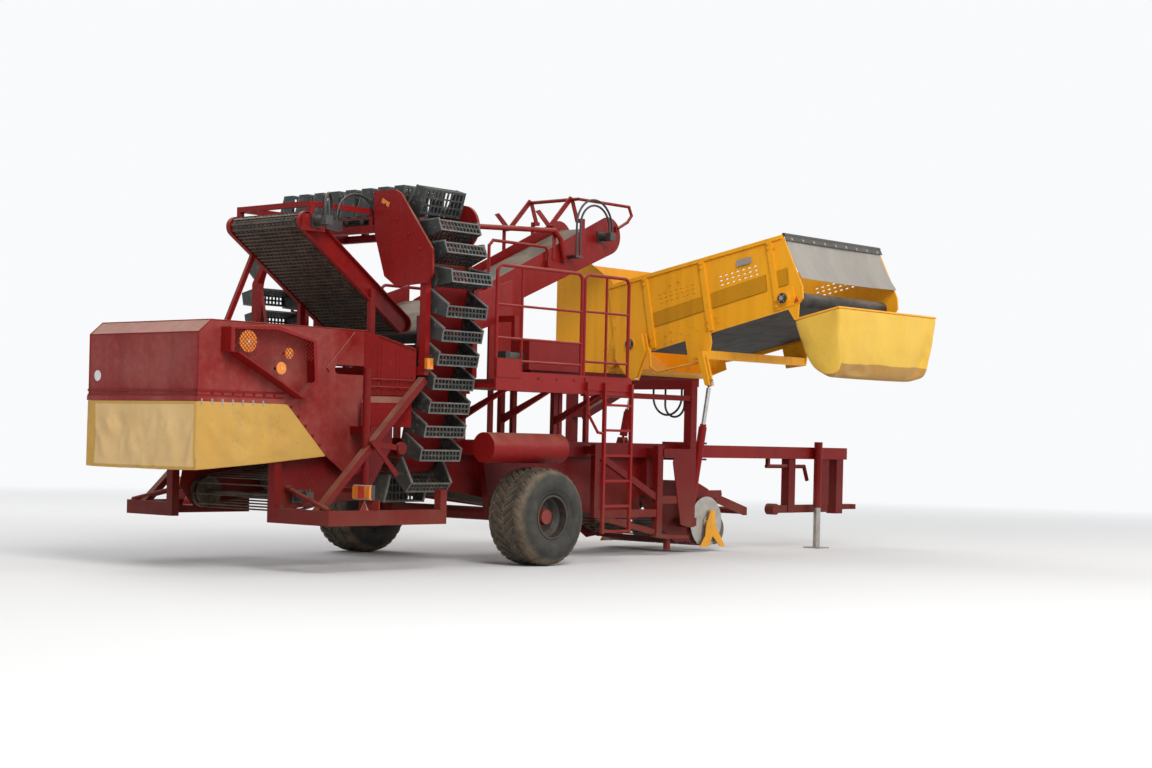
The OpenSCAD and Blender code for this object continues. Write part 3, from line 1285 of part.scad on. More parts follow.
hose_d = 24;
module hoses() {
    m = web_motor + [0, -155, 66];
    r = rise_motor + [0, -155, 66];
    v = valve[0].y + 30;
    color(BLACK) {
        arch(m + [-22, 0, 0], [-2070, v, 3204], 3410, hose_d);
        arch(m + [22, 0, 0], [-2130, v, 3204], 3350, hose_d);
        arch([-2010, v, 3204], [ring_back - 60, v, 3190], 3450, hose_d);
        arch([2130, r.y, 3246], r + [22, 0, 0], 3880, hose_d);
        arch([2190, r.y, 3246], r + [-22, 0, 0], 3820, hose_d);
        block([2100, r.y - 20, 3220], [2220, transfer_y[0], 3246]);
        // loops on the tower's front
        loop([2965, -700, 1840], [2965, -430, 1840], 1500, hose_d);
        loop([2965, -660, 1840], [2965, -260, 1840], 1520, hose_d);
        block([2950, -720, 1815], [2980, -240, 1860]);
    }
}

set_down() chassis();
set_down() axle();
set_down() channel_sides();
set_down() rear_frame();
set_down() ring_frame();
set_down() ring_guide();
set_down() ring_chains();
set_down() ring_pockets();
set_down() ring_cover();
set_down() steep_web();
set_down() steep_web_frame();
set_down() hood();
set_down() curtain();
set_down() side_guard();
set_down() flared_panel();
set_down() rear_web();
set_down() main_web();
set_down() tank();
set_down() platform();
set_down() railing();
set_down() ladder();
set_down() picking_table();
set_down() table_belt();
set_down() drive_guard();
set_down() tower();
set_down() bunker_end();
set_down() tail_lamps();
set_down() side_panels();
set_down() side_frame();
set_down() overhead_bar();
set_down() hydraulics();
set_down() hoses();
set_down() tyre_right();
set_down() rim_right();
set_down() tyre_left();
set_down() rim_left();
set_down() transfer_trough();
set_down() transfer_belt();
set_down() bunker_walls();
set_down() bunker_belt();
set_down() bunker_flap();
set_down() bag();
set_down() outer_barrel();
set_down() outer_rod();
set_down() inner_barrel();
set_down() inner_rod();
set_down() drawbar();
set_down() tow_neck();
set_down() drawbar_frame();
set_down() jack_tube();
set_down() jack_leg();
set_down() steer_barrel();
set_down() steer_rod();
set_down() digger_frame();
set_down() digger_web();
set_down() share_guard();
set_down() coulter_right();
set_down() coulter_left();
set_down() depth_rollers();
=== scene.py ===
"""Looks of a trailed potato harvester: paint, rubber, canvas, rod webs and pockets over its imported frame."""
import math

import bmesh
import bpy
from mathutils import Matrix, Vector, noise


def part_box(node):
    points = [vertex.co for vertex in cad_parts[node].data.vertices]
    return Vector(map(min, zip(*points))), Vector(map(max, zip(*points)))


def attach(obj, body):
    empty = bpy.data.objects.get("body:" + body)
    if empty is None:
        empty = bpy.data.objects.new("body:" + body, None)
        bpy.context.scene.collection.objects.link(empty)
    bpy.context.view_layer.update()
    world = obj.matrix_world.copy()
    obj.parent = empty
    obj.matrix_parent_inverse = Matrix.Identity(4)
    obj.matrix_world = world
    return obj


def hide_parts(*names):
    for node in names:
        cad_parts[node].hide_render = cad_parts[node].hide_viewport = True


bl_info = {
    "name": "Potato harvester looks",
    "version": (1, 0, 0),
    "blender": (4, 5, 0),
    "location": "View3D > Sidebar > Harvester",
    "description": "Dresses the packed frame of a trailed potato harvester",
    "category": "Object",
}

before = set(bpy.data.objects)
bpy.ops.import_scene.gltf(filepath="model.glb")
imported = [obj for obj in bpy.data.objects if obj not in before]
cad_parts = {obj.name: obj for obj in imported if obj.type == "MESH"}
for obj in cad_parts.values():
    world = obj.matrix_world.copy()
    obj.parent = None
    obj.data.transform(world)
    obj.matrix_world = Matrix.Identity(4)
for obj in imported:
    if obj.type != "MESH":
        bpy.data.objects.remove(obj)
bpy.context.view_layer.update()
# the axle's middle, where the part's source places things from, is at minus this in the frame
MIDDLE = Vector([-(a + b) / 2 for a, b in zip(*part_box("axle"))][:2] + [0.0])
UP = Vector((0, 0, 1))
RIGHTWARD = (0, -1, 0)


def at(x, y, z):
    """Place in the frame of a point given in metres from the axle's middle."""
    return Vector((x, y, z)) - MIDDLE


def turned(place, angle, axis="X"):
    """Matrix that turns round an axis and then moves to a place."""
    return Matrix.Translation(place) @ Matrix.Rotation(angle, 4, axis)


# ---- sizes and colours that a user would change

def colour(name, words, default):
    return bpy.props.FloatVectorProperty(name=name, description=words, subtype="COLOR", size=3, min=0, max=1,
                                         default=default)


def length(name, words, default):
    return bpy.props.FloatProperty(name=name, description=words, subtype="DISTANCE", unit="LENGTH", min=0,
                                   default=default)


class HarvesterColours(bpy.types.PropertyGroup):
    red: colour("Red", "Red enamel of the frame", (0.200, 0.0045, 0.0042))
    faded: colour("Faded red", "Red enamel bleached by the sun", (0.275, 0.027, 0.023))
    chalky: colour("Chalky red", "Red enamel of the hood's roof, gone chalky", (0.47, 0.21, 0.17))
    yellow: colour("Yellow", "Yellow enamel of the bunker", (0.84, 0.36, 0.010))
    canvas: colour("Canvas", "Coated canvas of the curtain's sides and hems", (0.56, 0.315, 0.055))
    pale: colour("Bleached canvas", "Canvas bleached by the sun, at the curtain's rear", (0.74, 0.49, 0.21))
    dust: colour("Dust", "Dry soil on everything", (0.36, 0.27, 0.185))
    soil: colour("Soil", "Darker soil in corners and treads", (0.16, 0.105, 0.062))
    black: colour("Black", "Rubber and small fittings", (0.026, 0.025, 0.022))
    steel: colour("Steel", "Bare steel", (0.42, 0.40, 0.37))
    apron: colour("Apron", "Grey rubber of the bunker's flap", (0.30, 0.27, 0.235))
    signal: colour("Orange", "Orange of the discs, lamps and reflectors", (0.72, 0.21, 0.012))


class HarvesterSizes(bpy.types.PropertyGroup):
    tread: length("Tread", "Height of the tread's blocks", 0.016)
    cloth: length("Cloth", "Thickness of the canvas", 0.004)
    mesh: length("Guard mesh", "Pitch of the side guard's mesh", 0.055)


def colours():
    return bpy.context.scene.harvester_colours


def sizes():
    return bpy.context.scene.harvester_sizes


# ---- shader maths as expressions

class Value:
    """An output of a shader node. Its operators add nodes."""

    def __init__(self, finish, socket):
        self.finish = finish
        self.socket = socket

    def _math(self, operation, *inputs):
        return self.finish.node("Math", {"operation": operation}, dict(enumerate(inputs)))

    def __add__(self, other):
        return self._math("ADD", self, other)

    __radd__ = __add__

    def __sub__(self, other):
        return self._math("SUBTRACT", self, other)

    def __rsub__(self, other):
        return self._math("SUBTRACT", other, self)

    def __mul__(self, other):
        return self._math("MULTIPLY", self, other)

    __rmul__ = __mul__

    def __pow__(self, other):
        return self._math("POWER", self, other)

    def __lt__(self, other):
        return self._math("LESS_THAN", self, other)

    def maximum(self, other):
        return self._math("MAXIMUM", self, other)

    def minimum(self, other):
        return self._math("MINIMUM", self, other)

    def sine(self):
        return self._math("SINE", self)

    def between(self, low, high):
        """0 at low, 1 at high, and clamped beyond them."""
        limits = {"Value": self, "From Min": low, "From Max": high}
        return self.finish.node("MapRange", {"clamp": True}, limits)


def tint(base, factor, more=0.0):
    """A colour made lighter or darker."""
    return [v * factor + more for v in base]


class Finish:
    """A material while it is made, with its Principled shader and the maths before it."""

    def __init__(self, name, **constants):
        self.material = bpy.data.materials.new(name)
        self.material.use_nodes = True
        self.tree = self.material.node_tree
        self.shader = self.tree.nodes["Principled BSDF"]
        for socket, value in constants.items():
            self.shader.inputs[socket.replace("_", " ")].default_value = value

    def node(self, kind, settings=None, inputs=None, output=0):
        made = self.tree.nodes.new("ShaderNode" + kind)
        for key, value in (settings or {}).items():
            setattr(made, key, value)
        for key, value in (inputs or {}).items():
            socket = made.inputs[key]
            if isinstance(value, Value):
                self.tree.links.new(value.socket, socket)
            elif isinstance(value, (int, float)):
                socket.default_value = value
            else:
                alpha = (1.0,) if len(value) == 3 and socket.type == "RGBA" else ()
                socket.default_value = tuple(value) + alpha
        return Value(self, made.outputs[output])

    def where(self):
        """Position in metres."""
        return self.node("TexCoord", output="Object")

    def place(self, scale=(1, 1, 1)):
        """Position in metres, stretched by scale."""
        return self.node("Mapping", {"vector_type": "POINT"}, {"Vector": self.where(), "Scale": scale})

    def part(self, vector, axis):
        return self.node("SeparateXYZ", inputs={"Vector": vector}, output=axis)

    def height(self):
        return self.part(self.where(), 2)

    def from_axle(self):
        """Distance from the wheels' axis."""
        depth = self.part(self.where(), 0) + MIDDLE.x
        height = self.height() - TYRE.radius
        return (depth * depth + height * height) ** 0.5

    def upward(self):
        """1 where the surface faces up, 0 where it is upright or faces down."""
        return self.part(self.node("TexCoord", output="Normal"), 2).between(0.15, 0.85)

    def clouds(self, scale, detail=4.0, low=0.35, high=0.65, stretch=(1, 1, 1)):
        """Noise as a mask from 0 to 1; scale counts its features in a metre."""
        made = self.node("TexNoise", inputs={"Vector": self.place(stretch), "Scale": scale, "Detail": detail})
        return made.between(low, high)

    def cells(self, scale, reach):
        """1 in small round spots."""
        made = self.node("TexVoronoi", inputs={"Vector": self.place(), "Scale": scale}, output="Distance")
        return 1 - made.between(reach * 0.7, reach)

    def mix(self, factor, first, second):
        return self.node("Mix", {"data_type": "RGBA"}, {0: factor, 6: first, 7: second}, 2)

    def feed(self, **values):
        """Links values to the shader's sockets."""
        for socket, value in values.items():
            self.tree.links.new(value.socket, self.shader.inputs[socket.replace("_", " ")])

    def coat(self, soil, tone, over, rough, rise=0.4, most=0.95):
        """Puts soil over a tone, with a roughness that rises with the soil."""
        self.feed(Base_Color=self.mix(soil, tone, over), Roughness=(soil * rise + rough).minimum(most))

    def bump(self, height, distance, strength=1.0):
        inputs = {"Height": height, "Distance": distance, "Strength": strength}
        self.feed(Normal=self.node("Bump", inputs=inputs))


def dirt(finish, low=0.10, high=0.85, dusty=0.55):
    """Mask of dry soil: on what faces up, towards the ground, and in clouds."""
    patches = finish.clouds(3.1, 6, 0.35, 0.7)
    specks = finish.clouds(38, 3, 0.55, 0.8)
    near_ground = 1 - finish.height().between(low, high)
    rest = finish.upward() * dusty * (0.25 + patches * 0.75)
    splash = near_ground * (0.06 + patches * 0.40)
    return (rest.maximum(splash) + specks * 0.05).minimum(0.9)


def enamel(name, base, faded, fade=0.5, dusty=0.55, rough=0.42):
    """Old enamel: bleached in clouds and on top, dusty, chipped down to brown steel."""
    c = colours()
    f = Finish(name, Specular_IOR_Level=0.16)
    bleach = f.clouds(1.3, 5, 0.35, 0.8) * 0.45 + f.upward() * 0.6 + f.clouds(14, 4, 0.45, 0.85) * 0.12
    streaks = f.clouds(9, 5, 0.45, 0.8, (1, 1, 0.08))
    paint = f.mix((bleach * fade).minimum(1), base, faded)
    paint = f.mix(streaks * 0.28, paint, tint(base, 0.42))
    soil = dirt(f, dusty=dusty)
    chips = f.cells(26, 0.16) * f.clouds(2.3, 3, 0.55, 0.62)
    brown_steel = (0.09, 0.045, 0.028)
    paint = f.mix(chips * 0.85, paint, brown_steel)
    # splashed soil is darker low down than the dust on the upper parts
    ground = f.mix(f.height().between(0.5, 1.3), c.soil, c.dust)
    f.coat(soil, paint, ground, f.clouds(22, 3) * 0.10 + rough, 0.45)
    f.bump(f.clouds(55, 4) * 0.4 - chips * 0.6 + soil * f.clouds(140, 3) * 0.6, 0.0012, 0.7)
    return f.material


def rod_steel(name, base):
    """Dark rods: polished by the soil in places and caked with it in others."""
    f = Finish(name, Specular_IOR_Level=0.5)
    caked = f.clouds(16, 6, 0.4, 0.62) * 0.55 + dirt(f, dusty=0.4) * 0.35
    tone = f.mix(f.clouds(6, 4), base, tint(base, 2.2))
    f.feed(Base_Color=f.mix(caked.minimum(0.9), tone, colours().soil),
           Metallic=(1 - caked).minimum(0.75).maximum(0), Roughness=(caked * 0.45 + 0.42).minimum(0.95))
    f.bump(f.clouds(70, 5), 0.0015)
    return f.material


def rubber(name, base, dusty=0.5, rough=0.72):
    """Dull rubber under dust."""
    f = Finish(name, Specular_IOR_Level=0.35)
    tone = f.mix(f.clouds(7, 5), base, tint(base, 1.9, 0.008))
    f.coat(dirt(f, dusty=dusty), tone, colours().dust, rough, 0.2, 0.97)
    f.bump(f.clouds(90, 4), 0.0008)
    return f.material


def tyre_rubber():
    """Dark sidewall, soil between and on the tread's blocks."""
    f = Finish("tyre_rubber", Specular_IOR_Level=0.3)
    radius = f.from_axle()
    tread = radius.between(TYRE.radius - 0.075, TYRE.radius - 0.035)
    groove = 1 - radius.between(TYRE.radius - 0.017, TYRE.radius - 0.004)
    patches = f.clouds(11, 6, 0.35, 0.7)
    soil = tread * (0.22 + groove * 0.45) * (0.35 + patches * 0.75) + f.clouds(5, 5, 0.5, 0.85) * 0.16
    rings = (radius * 260).sine() * (1 - tread)
    worn, caked = (0.046, 0.043, 0.034), (0.24, 0.17, 0.105)
    f.coat(soil.minimum(0.92), f.mix(patches, colours().black, worn), caked, 0.7, 0.2, 0.96)
    f.bump(f.clouds(80, 5) * 0.6 + rings * 0.12, 0.002)
    return f.material


def wheel_paint():
    """Black wheel dish with a red hub, both dusty; the hub is told by its distance from the axle."""
    c = colours()
    f = Finish("wheel_dish", Specular_IOR_Level=0.4)
    soil = (dirt(f, high=1.0) * 0.7 + f.clouds(17, 5, 0.5, 0.75) * 0.3).minimum(0.85)
    paint = f.mix(f.from_axle() < TYRE.hub, (0.022, 0.019, 0.018), c.red)
    f.coat(soil, paint, c.soil, 0.5)
    f.bump(f.clouds(60, 4) + f.clouds(200, 2) * soil, 0.001)
    return f.material


def apron_rubber():
    """Grey rubber, polished by the crop in bands that run down."""
    grey = colours().apron
    f = Finish("apron_rubber", Specular_IOR_Level=0.35)
    bands = f.clouds(2.6, 5, 0.3, 0.8, (1, 0.15, 0.15))
    marks = f.clouds(14, 5, 0.45, 0.8, (1, 0.3, 0.3))
    tone = f.mix(bands * 0.6, grey, tint(grey, 0.72))
    f.feed(Base_Color=f.mix(marks * 0.25, tone, (0.42, 0.37, 0.30)), Roughness=0.5 + bands * 0.25)
    f.bump(f.clouds(30, 4) * 0.5 + f.clouds(120, 3) * 0.3, 0.001)
    return f.material


def canvas(name, base, shade, stained=0.35):
    """Coated canvas: weave, stains that run down, splashes of soil, soft folds."""
    f = Finish(name, Roughness=0.72, Specular_IOR_Level=0.3, Sheen_Weight=0.08)
    where = f.where()
    threads = 1400
    weave = ((f.part(where, 0) + f.part(where, 1)) * threads).sine() * (f.part(where, 2) * threads).sine()
    runs = f.clouds(5, 5, 0.4, 0.75, (1, 1, 0.15))
    tone = f.mix(f.clouds(2.1, 6, 0.4, 0.72) * 0.5, base, shade)
    tone = f.mix(runs * stained, tone, (0.42, 0.27, 0.09))
    tone = f.mix(f.clouds(24, 4, 0.62, 0.72) * stained * 0.7, tone, colours().soil)
    splashed = f.clouds(95, 2, 0.54, 0.62) * f.clouds(1.9, 3, 0.50, 0.66)
    f.feed(Base_Color=f.mix(splashed * stained, tone, (0.56, 0.44, 0.27)))
    folds = f.clouds(1.5, 2, 0.25, 0.75, (1, 1, 0.45)) * 11.0 + f.clouds(3.5, 5) * 3.0
    f.bump(weave * 0.15 + folds + f.clouds(9, 4, 0.3, 0.7, (1, 1, 0.3)) * 1.2, 0.0030)
    return f.material


def moulded(name, base):
    """Moulded black pockets, worn grey and dusty."""
    f = Finish(name, Specular_IOR_Level=0.4)
    worn = f.clouds(9, 6, 0.42, 0.72)
    soil = f.clouds(19, 6, 0.56, 0.72) * 0.30 + dirt(f, low=0.3, high=2.2, dusty=0.5) * 0.40
    tone = f.mix(worn * 0.5, base, tint(base, 1.8, 0.016))
    f.coat(soil.minimum(0.70), tone, colours().dust, worn * 0.1 + 0.45)
    f.bump(f.clouds(60, 5), 0.001)
    return f.material


def plain(name, base, rough, metallic=0.0, dusty=0.35):
    """Small fittings: one colour with dust and slight wear."""
    f = Finish(name, Metallic=metallic)
    tone = f.mix(f.clouds(12, 4) * 0.5, base, tint(base, 0.6))
    f.coat(dirt(f, dusty=dusty) * 0.8, tone, colours().dust, rough)
    f.bump(f.clouds(75, 3), 0.0005)
    return f.material


MATERIALS = {}


def make_materials():
    c = colours()
    MATERIALS.update(
        red=enamel("red_enamel", c.red, c.faded),
        # painted shade: a darker copy of the red for the lower frame, which stands in shade
        shaded=enamel("red_enamel_painted_shade", tint(c.red, 0.64), c.red, 0.5, 0.6),
        roof=enamel("red_enamel_bleached", c.red, c.chalky, 0.9, 0.55),
        yellow=enamel("yellow_enamel", c.yellow, (0.68, 0.33, 0.05), 0.5, 0.30, 0.38),
        # painted shade: a darker copy of the yellow for the strips in the bunker walls' shadowed recess
        inset=enamel("yellow_enamel_painted_shade", tint(c.yellow, 0.62), c.yellow, 0.3, 0.30, 0.45),
        rim=wheel_paint(),
        rods=rod_steel("web_rods", (0.045, 0.036, 0.030)),
        belt=rubber("belt_rubber", c.black, 0.7),
        apron=apron_rubber(),
        tyre=tyre_rubber(),
        canvas=canvas("yellow_canvas", c.canvas, (0.50, 0.27, 0.07)),
        pale=canvas("bleached_canvas", c.pale, (0.60, 0.36, 0.13), 0.18),
        # painted light: a brighter canvas than the curtain's, standing in for the sun that lights the bag and
        # shines through it
        bag=canvas("bag_canvas", (0.76, 0.47, 0.055), (0.66, 0.36, 0.035), 0.12),
        # painted shade and soil: a darker canvas with more stains for the bag's bottom
        sagged=canvas("soiled_canvas_painted_shade", (0.44, 0.225, 0.042), (0.34, 0.18, 0.05), 0.25),
        pocket=moulded("moulded_pocket", (0.019, 0.022, 0.021)),
        # the rims are painted paler than the pockets: partly wear, partly painted highlight along the edges
        edge=moulded("worn_rim_painted_highlight", (0.085, 0.092, 0.086)),
        steel=plain("bare_steel", c.steel, 0.4, 0.85),
        chrome=plain("chromed_rod", (0.62, 0.61, 0.60), 0.18, 0.95, 0.15),
        black=plain("black_fitting", c.black, 0.5),
        hose=plain("hose_rubber", (0.016, 0.016, 0.017), 0.42, 0, 0.25),
        orange=plain("orange_reflector", c.signal, 0.3),
        lens=plain("red_lens", (0.60, 0.022, 0.012), 0.2, 0, 0.15),
        clear=plain("clear_lens", (0.62, 0.58, 0.54), 0.18, 0, 0.15),
        white=plain("white_plate", (0.72, 0.71, 0.68), 0.45, 0, 0.2),
    )


# which finish each node that stays from the frame gets; the others are red, and the lower frame's nodes get
# the darker red of painted shade
NODE_FINISH = {
    "shaded": ("chassis", "axle", "channel_sides", "tower", "digger_frame", "rear_frame", "side_frame",
               "side_panels", "tow_neck", "drawbar_frame"),
    "roof": ("hood",),
    "yellow": ("bunker_end", "bunker_walls", "share_guard"),
    "rods": ("rear_web", "main_web", "digger_web"),
    "belt": ("table_belt", "transfer_belt", "bunker_belt", "depth_rollers"),
    "rim": ("rim_right", "rim_left"),
    "steel": ("jack_leg", "coulter_right", "coulter_left"),
    "chrome": ("outer_rod", "inner_rod", "steer_rod"),
    "black": ("steer_barrel", "hydraulics"),
    "hose": ("hoses",),
}


def finish_nodes():
    chosen = {node: name for name, nodes in NODE_FINISH.items() for node in nodes}
    for node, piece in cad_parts.items():
        for slot in piece.material_slots:
            slot.material = MATERIALS[chosen.get(node, "red")]


# ---- mesh helpers

def new_piece(name, mesh, looks, body, *nodes, smooth=False):
    """Puts a mesh in the scene on a body, in place of the nodes named."""
    data = bpy.data.meshes.new(name)
    if isinstance(mesh, bmesh.types.BMesh):
        mesh.to_mesh(data)
        mesh.free()
    else:
        data.from_pydata(*mesh)
        data.update()
    piece = bpy.data.objects.new(name, data)
    bpy.context.collection.objects.link(piece)
    for look in looks:
        data.materials.append(MATERIALS[look])
    if smooth:
        data.polygons.foreach_set("use_smooth", [True] * len(data.polygons))
    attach(piece, body)
    if nodes:
        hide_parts(*nodes)
    return piece


def loft(mesh, rings, index=0, caps=True):
    """Joins closed rings of vertices with faces, and closes both ends."""
    for a, b in zip(rings, rings[1:]):
        for k in range(len(a)):
            n = (k + 1) % len(a)
            mesh.faces.new((a[k], a[n], b[n], b[k])).material_index = index
    if caps:
        mesh.faces.new(rings[0][::-1]).material_index = index
        mesh.faces.new(rings[-1]).material_index = index


def add_block(mesh, places, index=0):
    """Adds a block from its eight corners, which count up in its three directions in turn."""
    corners = [mesh.verts.new(place) for place in places]
    for face in ((0, 1, 3, 2), (4, 6, 7, 5), (0, 4, 5, 1), (2, 3, 7, 6), (0, 2, 6, 4), (1, 5, 7, 3)):
        mesh.faces.new([corners[k] for k in face]).material_index = index


def add_box(mesh, a, b, turn=None, index=0):
    """Adds a box between two corners, moved by the matrix turn."""
    turn = turn or Matrix()
    xs, ys, zs = (sorted(pair) for pair in zip(a, b))
    add_block(mesh, [turn @ Vector((x, y, z)) for x in xs for y in ys for z in zs], index)


def add_disc(mesh, centre, axis, radius, thickness, sides=24, index=0):
    """Adds a short cylinder whose axis runs through centre."""
    axis = Vector(axis).normalized()
    one = axis.orthogonal().normalized()
    two = axis.cross(one)
    angles = [2 * math.pi * k / sides for k in range(sides)]
    spokes = [(one * math.cos(a) + two * math.sin(a)) * radius for a in angles]
    ends = [Vector(centre) + axis * thickness * step for step in (-0.5, 0.5)]
    loft(mesh, [[mesh.verts.new(end + spoke) for spoke in spokes] for end in ends], index)


def add_bar(mesh, a, b, radius, sides=6, index=0):
    """Adds a straight round bar between two points."""
    add_disc(mesh, (a + b) / 2, b - a, radius, (b - a).length, sides, index)


def add_plate(mesh, outline, place, index=0):
    """Adds a plate: an outline of pairs put in space by place(u, v, t), with t = 0 and 1 on its sides."""
    loft(mesh, [[mesh.verts.new(place(u, v, t)) for u, v in outline] for t in (0, 1)], index)


def bolt(mesh, place, axis, size, index=0):
    """Adds a hexagonal bolt head on its washer."""
    axis = Vector(axis)
    add_disc(mesh, place + axis * size * 0.3, axis, size, size * 0.7, 6, index)
    add_disc(mesh, place + axis * size * 0.05, axis, size * 1.45, size * 0.16, 16, index)


def bolt_row(mesh, a, b, count, axis, size, index=0):
    """Adds bolts at equal steps between two points."""
    for k in range(count):
        bolt(mesh, a.lerp(b, (k + 0.5) / count), axis, size, index)


# ---- the ring elevator

class RING:
    """The chains' pulleys in Y and Z from the axle's middle, and the pockets' sizes, in metres."""
    half, top, depth, count, wall = 1.485, 3.550, 0.250, 38, 0.014
    back, front = -1.460, -0.930
    chain, links = 0.040, 120
    outer = [(half - 0.870, 1.120, 0.520), (half - 0.520, 2.650, 0.520), (half - 0.560, top - 0.350, 0.350),
             (0.560 - half, top - 0.350, 0.350), (0.520 - half, 2.650, 0.520), (0.870 - half, 1.120, 0.520)]
    inner = [(y, z, r - 0.250) for y, z, r in outer]


def belt_places(pulleys, count):
    """Places at equal steps along a belt round pulleys given anticlockwise: (across, up, outward angle)."""
    def outward(p, q):
        return math.atan2(q[1] - p[1], q[0] - p[0]) - math.acos((p[2] - q[2]) / math.dist(p[:2], q[:2]))

    stretches = []
    for before, pulley, after in zip(pulleys[-1:] + pulleys, pulleys, pulleys[1:] + pulleys[:1]):
        arrives, leaves = outward(before, pulley), outward(pulley, after)
        around = (leaves - arrives) % (2 * math.pi)
        run = math.sqrt(math.dist(after[:2], pulley[:2]) ** 2 - (after[2] - pulley[2]) ** 2)
        stretches.append((pulley, arrives, around, pulley[2] * around, leaves, run))
    total = sum(arc + run for _, _, _, arc, _, run in stretches)
    places = []
    for k in range(count):
        left = (k + 0.5) * total / count
        for (y, z, r), arrives, around, arc, leaves, run in stretches:
            if left <= arc + run:
                a, ahead = (arrives + around * left / arc, 0.0) if left <= arc else (leaves, left - arc)
                c, s = math.cos(a), math.sin(a)
                places.append((y + r * c - ahead * s, z + r * s + ahead * c, a))
                break
            left -= arc + run
    return places, total


def slotted_panel(mesh, corner, along, up, thickness, columns, rows, margin, bar, slant=0.0):
    """Adds a flat panel from corner along two vectors, with slots in rows and columns."""
    normal = along.cross(up).normalized() * thickness
    width, tall = along.length, up.length

    def cuts(size, count):
        cell = (size - 2 * margin - (count - 1) * bar) / count
        starts = [margin + k * (cell + bar) for k in range(count)]
        return [0.0, *(mark for start in starts for mark in (start, start + cell)), size]

    def solid(i, j):
        return 0 <= i < len(xs) - 1 and 0 <= j < len(ys) - 1 and not (i % 2 and j % 2)

    xs, ys = cuts(width, columns), cuts(tall, rows)
    grid = {}
    for side in (0, 1):
        for i, x in enumerate(xs):
            for j, y in enumerate(ys):
                lean = slant * (y / tall - 0.5) if 0 < i < len(xs) - 1 else 0.0
                place = corner + along * ((x + lean) / width) + up * (y / tall) + normal * side
                grid[side, i, j] = mesh.verts.new(place)
    for i in range(len(xs) - 1):
        for j in range(len(ys) - 1):
            if not solid(i, j):
                continue
            for side in (0, 1):
                ring = [grid[side, i + a, j + b] for a, b in ((0, 0), (1, 0), (1, 1), (0, 1))]
                mesh.faces.new(ring if side else ring[::-1])
            # a wall towards each neighbour that isn't there
            for next_i, next_j, a, b, c, d in ((-1, 0, 0, 1, 0, 0), (1, 0, 1, 0, 1, 1),
                                               (0, -1, 0, 0, 1, 0), (0, 1, 1, 1, 0, 1)):
                if not solid(i + next_i, j + next_j):
                    ends = ((0, a, b), (0, c, d), (1, c, d), (1, a, b))
                    mesh.faces.new([grid[side, i + p, j + q] for side, p, q in ends])


def add_pocket(mesh, turn, pitch):
    """Adds one pocket: two end plates with folded rims, a slotted bottom and a slotted outer wall."""
    x0, x1, h = RING.back, RING.front, RING.depth
    plate, bottom = 0.010, -0.006
    foot, lip, nose, tail = -0.45 * pitch, 0.42 * pitch, 0.02 * pitch, -0.48 * pitch
    slope = Vector((0, nose - lip, h - bottom))
    for x, inward in ((x0, 1), (x1, -1)):
        end = min(x, x + inward * plate)
        add_plate(mesh, [(foot, bottom), (lip, bottom), (nose, h), (tail, h)],
                  lambda u, v, t: turn @ Vector((end + plate * t, u, v)))
        # folded rim along the sloping edge
        lean = turned(Vector((x, lip, bottom)), math.atan2(slope.z, slope.y))
        add_box(mesh, (0.0, -0.002, -0.014), (inward * 0.022, slope.length, 0.0), turn @ lean, 1)
    spin = turn.to_3x3()
    width = spin @ Vector((x1 - x0 - 2 * plate, 0, 0))
    low, rise = Vector((x0 + plate, foot + 0.002, 0.004)), Vector((0, tail - foot, h + bottom))
    slotted_panel(mesh, turn @ low, width, spin @ rise, -RING.wall, 10, 3, 0.022, 0.014)
    top, back = Vector((x0 + plate, nose - 0.004, h - 0.002)), Vector((0, tail - nose + 0.006, 0))
    slotted_panel(mesh, turn @ top, width, spin @ back, RING.wall, 11, 2, 0.016, 0.015, 0.02)
    # frame round the outer wall, in the rims' paler finish: wear and painted highlight
    for u in (nose - 0.014, tail):
        add_box(mesh, (x0 + 0.002, u, h - 0.004), (x1 - 0.002, u + 0.012, h + 0.0025), turn, 1)
    for x in (x0 + 0.001, x1 - 0.013):
        add_box(mesh, (x, tail + 0.010, h - 0.004), (x + 0.012, nose - 0.012, h + 0.002), turn, 1)


def make_ring():
    """The pockets, and two chains of flat links."""
    mesh = bmesh.new()
    places, total = belt_places(RING.inner, RING.count)
    for y, z, angle in places:
        add_pocket(mesh, turned(at(0, y, z), angle - math.pi / 2), total / RING.count)
    new_piece("slotted_pockets", mesh, ["pocket", "edge"], "frame", "ring_pockets")
    mesh = bmesh.new()
    places, total = belt_places([(y, z, r - 0.012) for y, z, r in RING.inner], RING.links)
    reach = total / RING.links * 0.56
    for x in (RING.back + RING.chain / 2, RING.front - RING.chain / 2):
        for k, (y, z, angle) in enumerate(places):
            turn = turned(at(x, y, z), angle - math.pi / 2)
            spread = 0.016 if k % 2 else 0.010
            for off in (-spread, spread - 0.005):
                add_box(mesh, (off, -reach, -0.010), (off + 0.005, reach, 0.010), turn)
    new_piece("link_chains", mesh, ["rods"], "frame", "ring_chains")


# ---- tyres

class TYRE:
    """Sizes of a tyre, from its node's box, and of its bead and hub, in metres."""
    low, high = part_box("tyre_right")
    radius = (high[2] - low[2]) / 2
    width = high[1] - low[1]
    bead, hub = 0.2165, 0.083
    sides, blocks = 72, 34


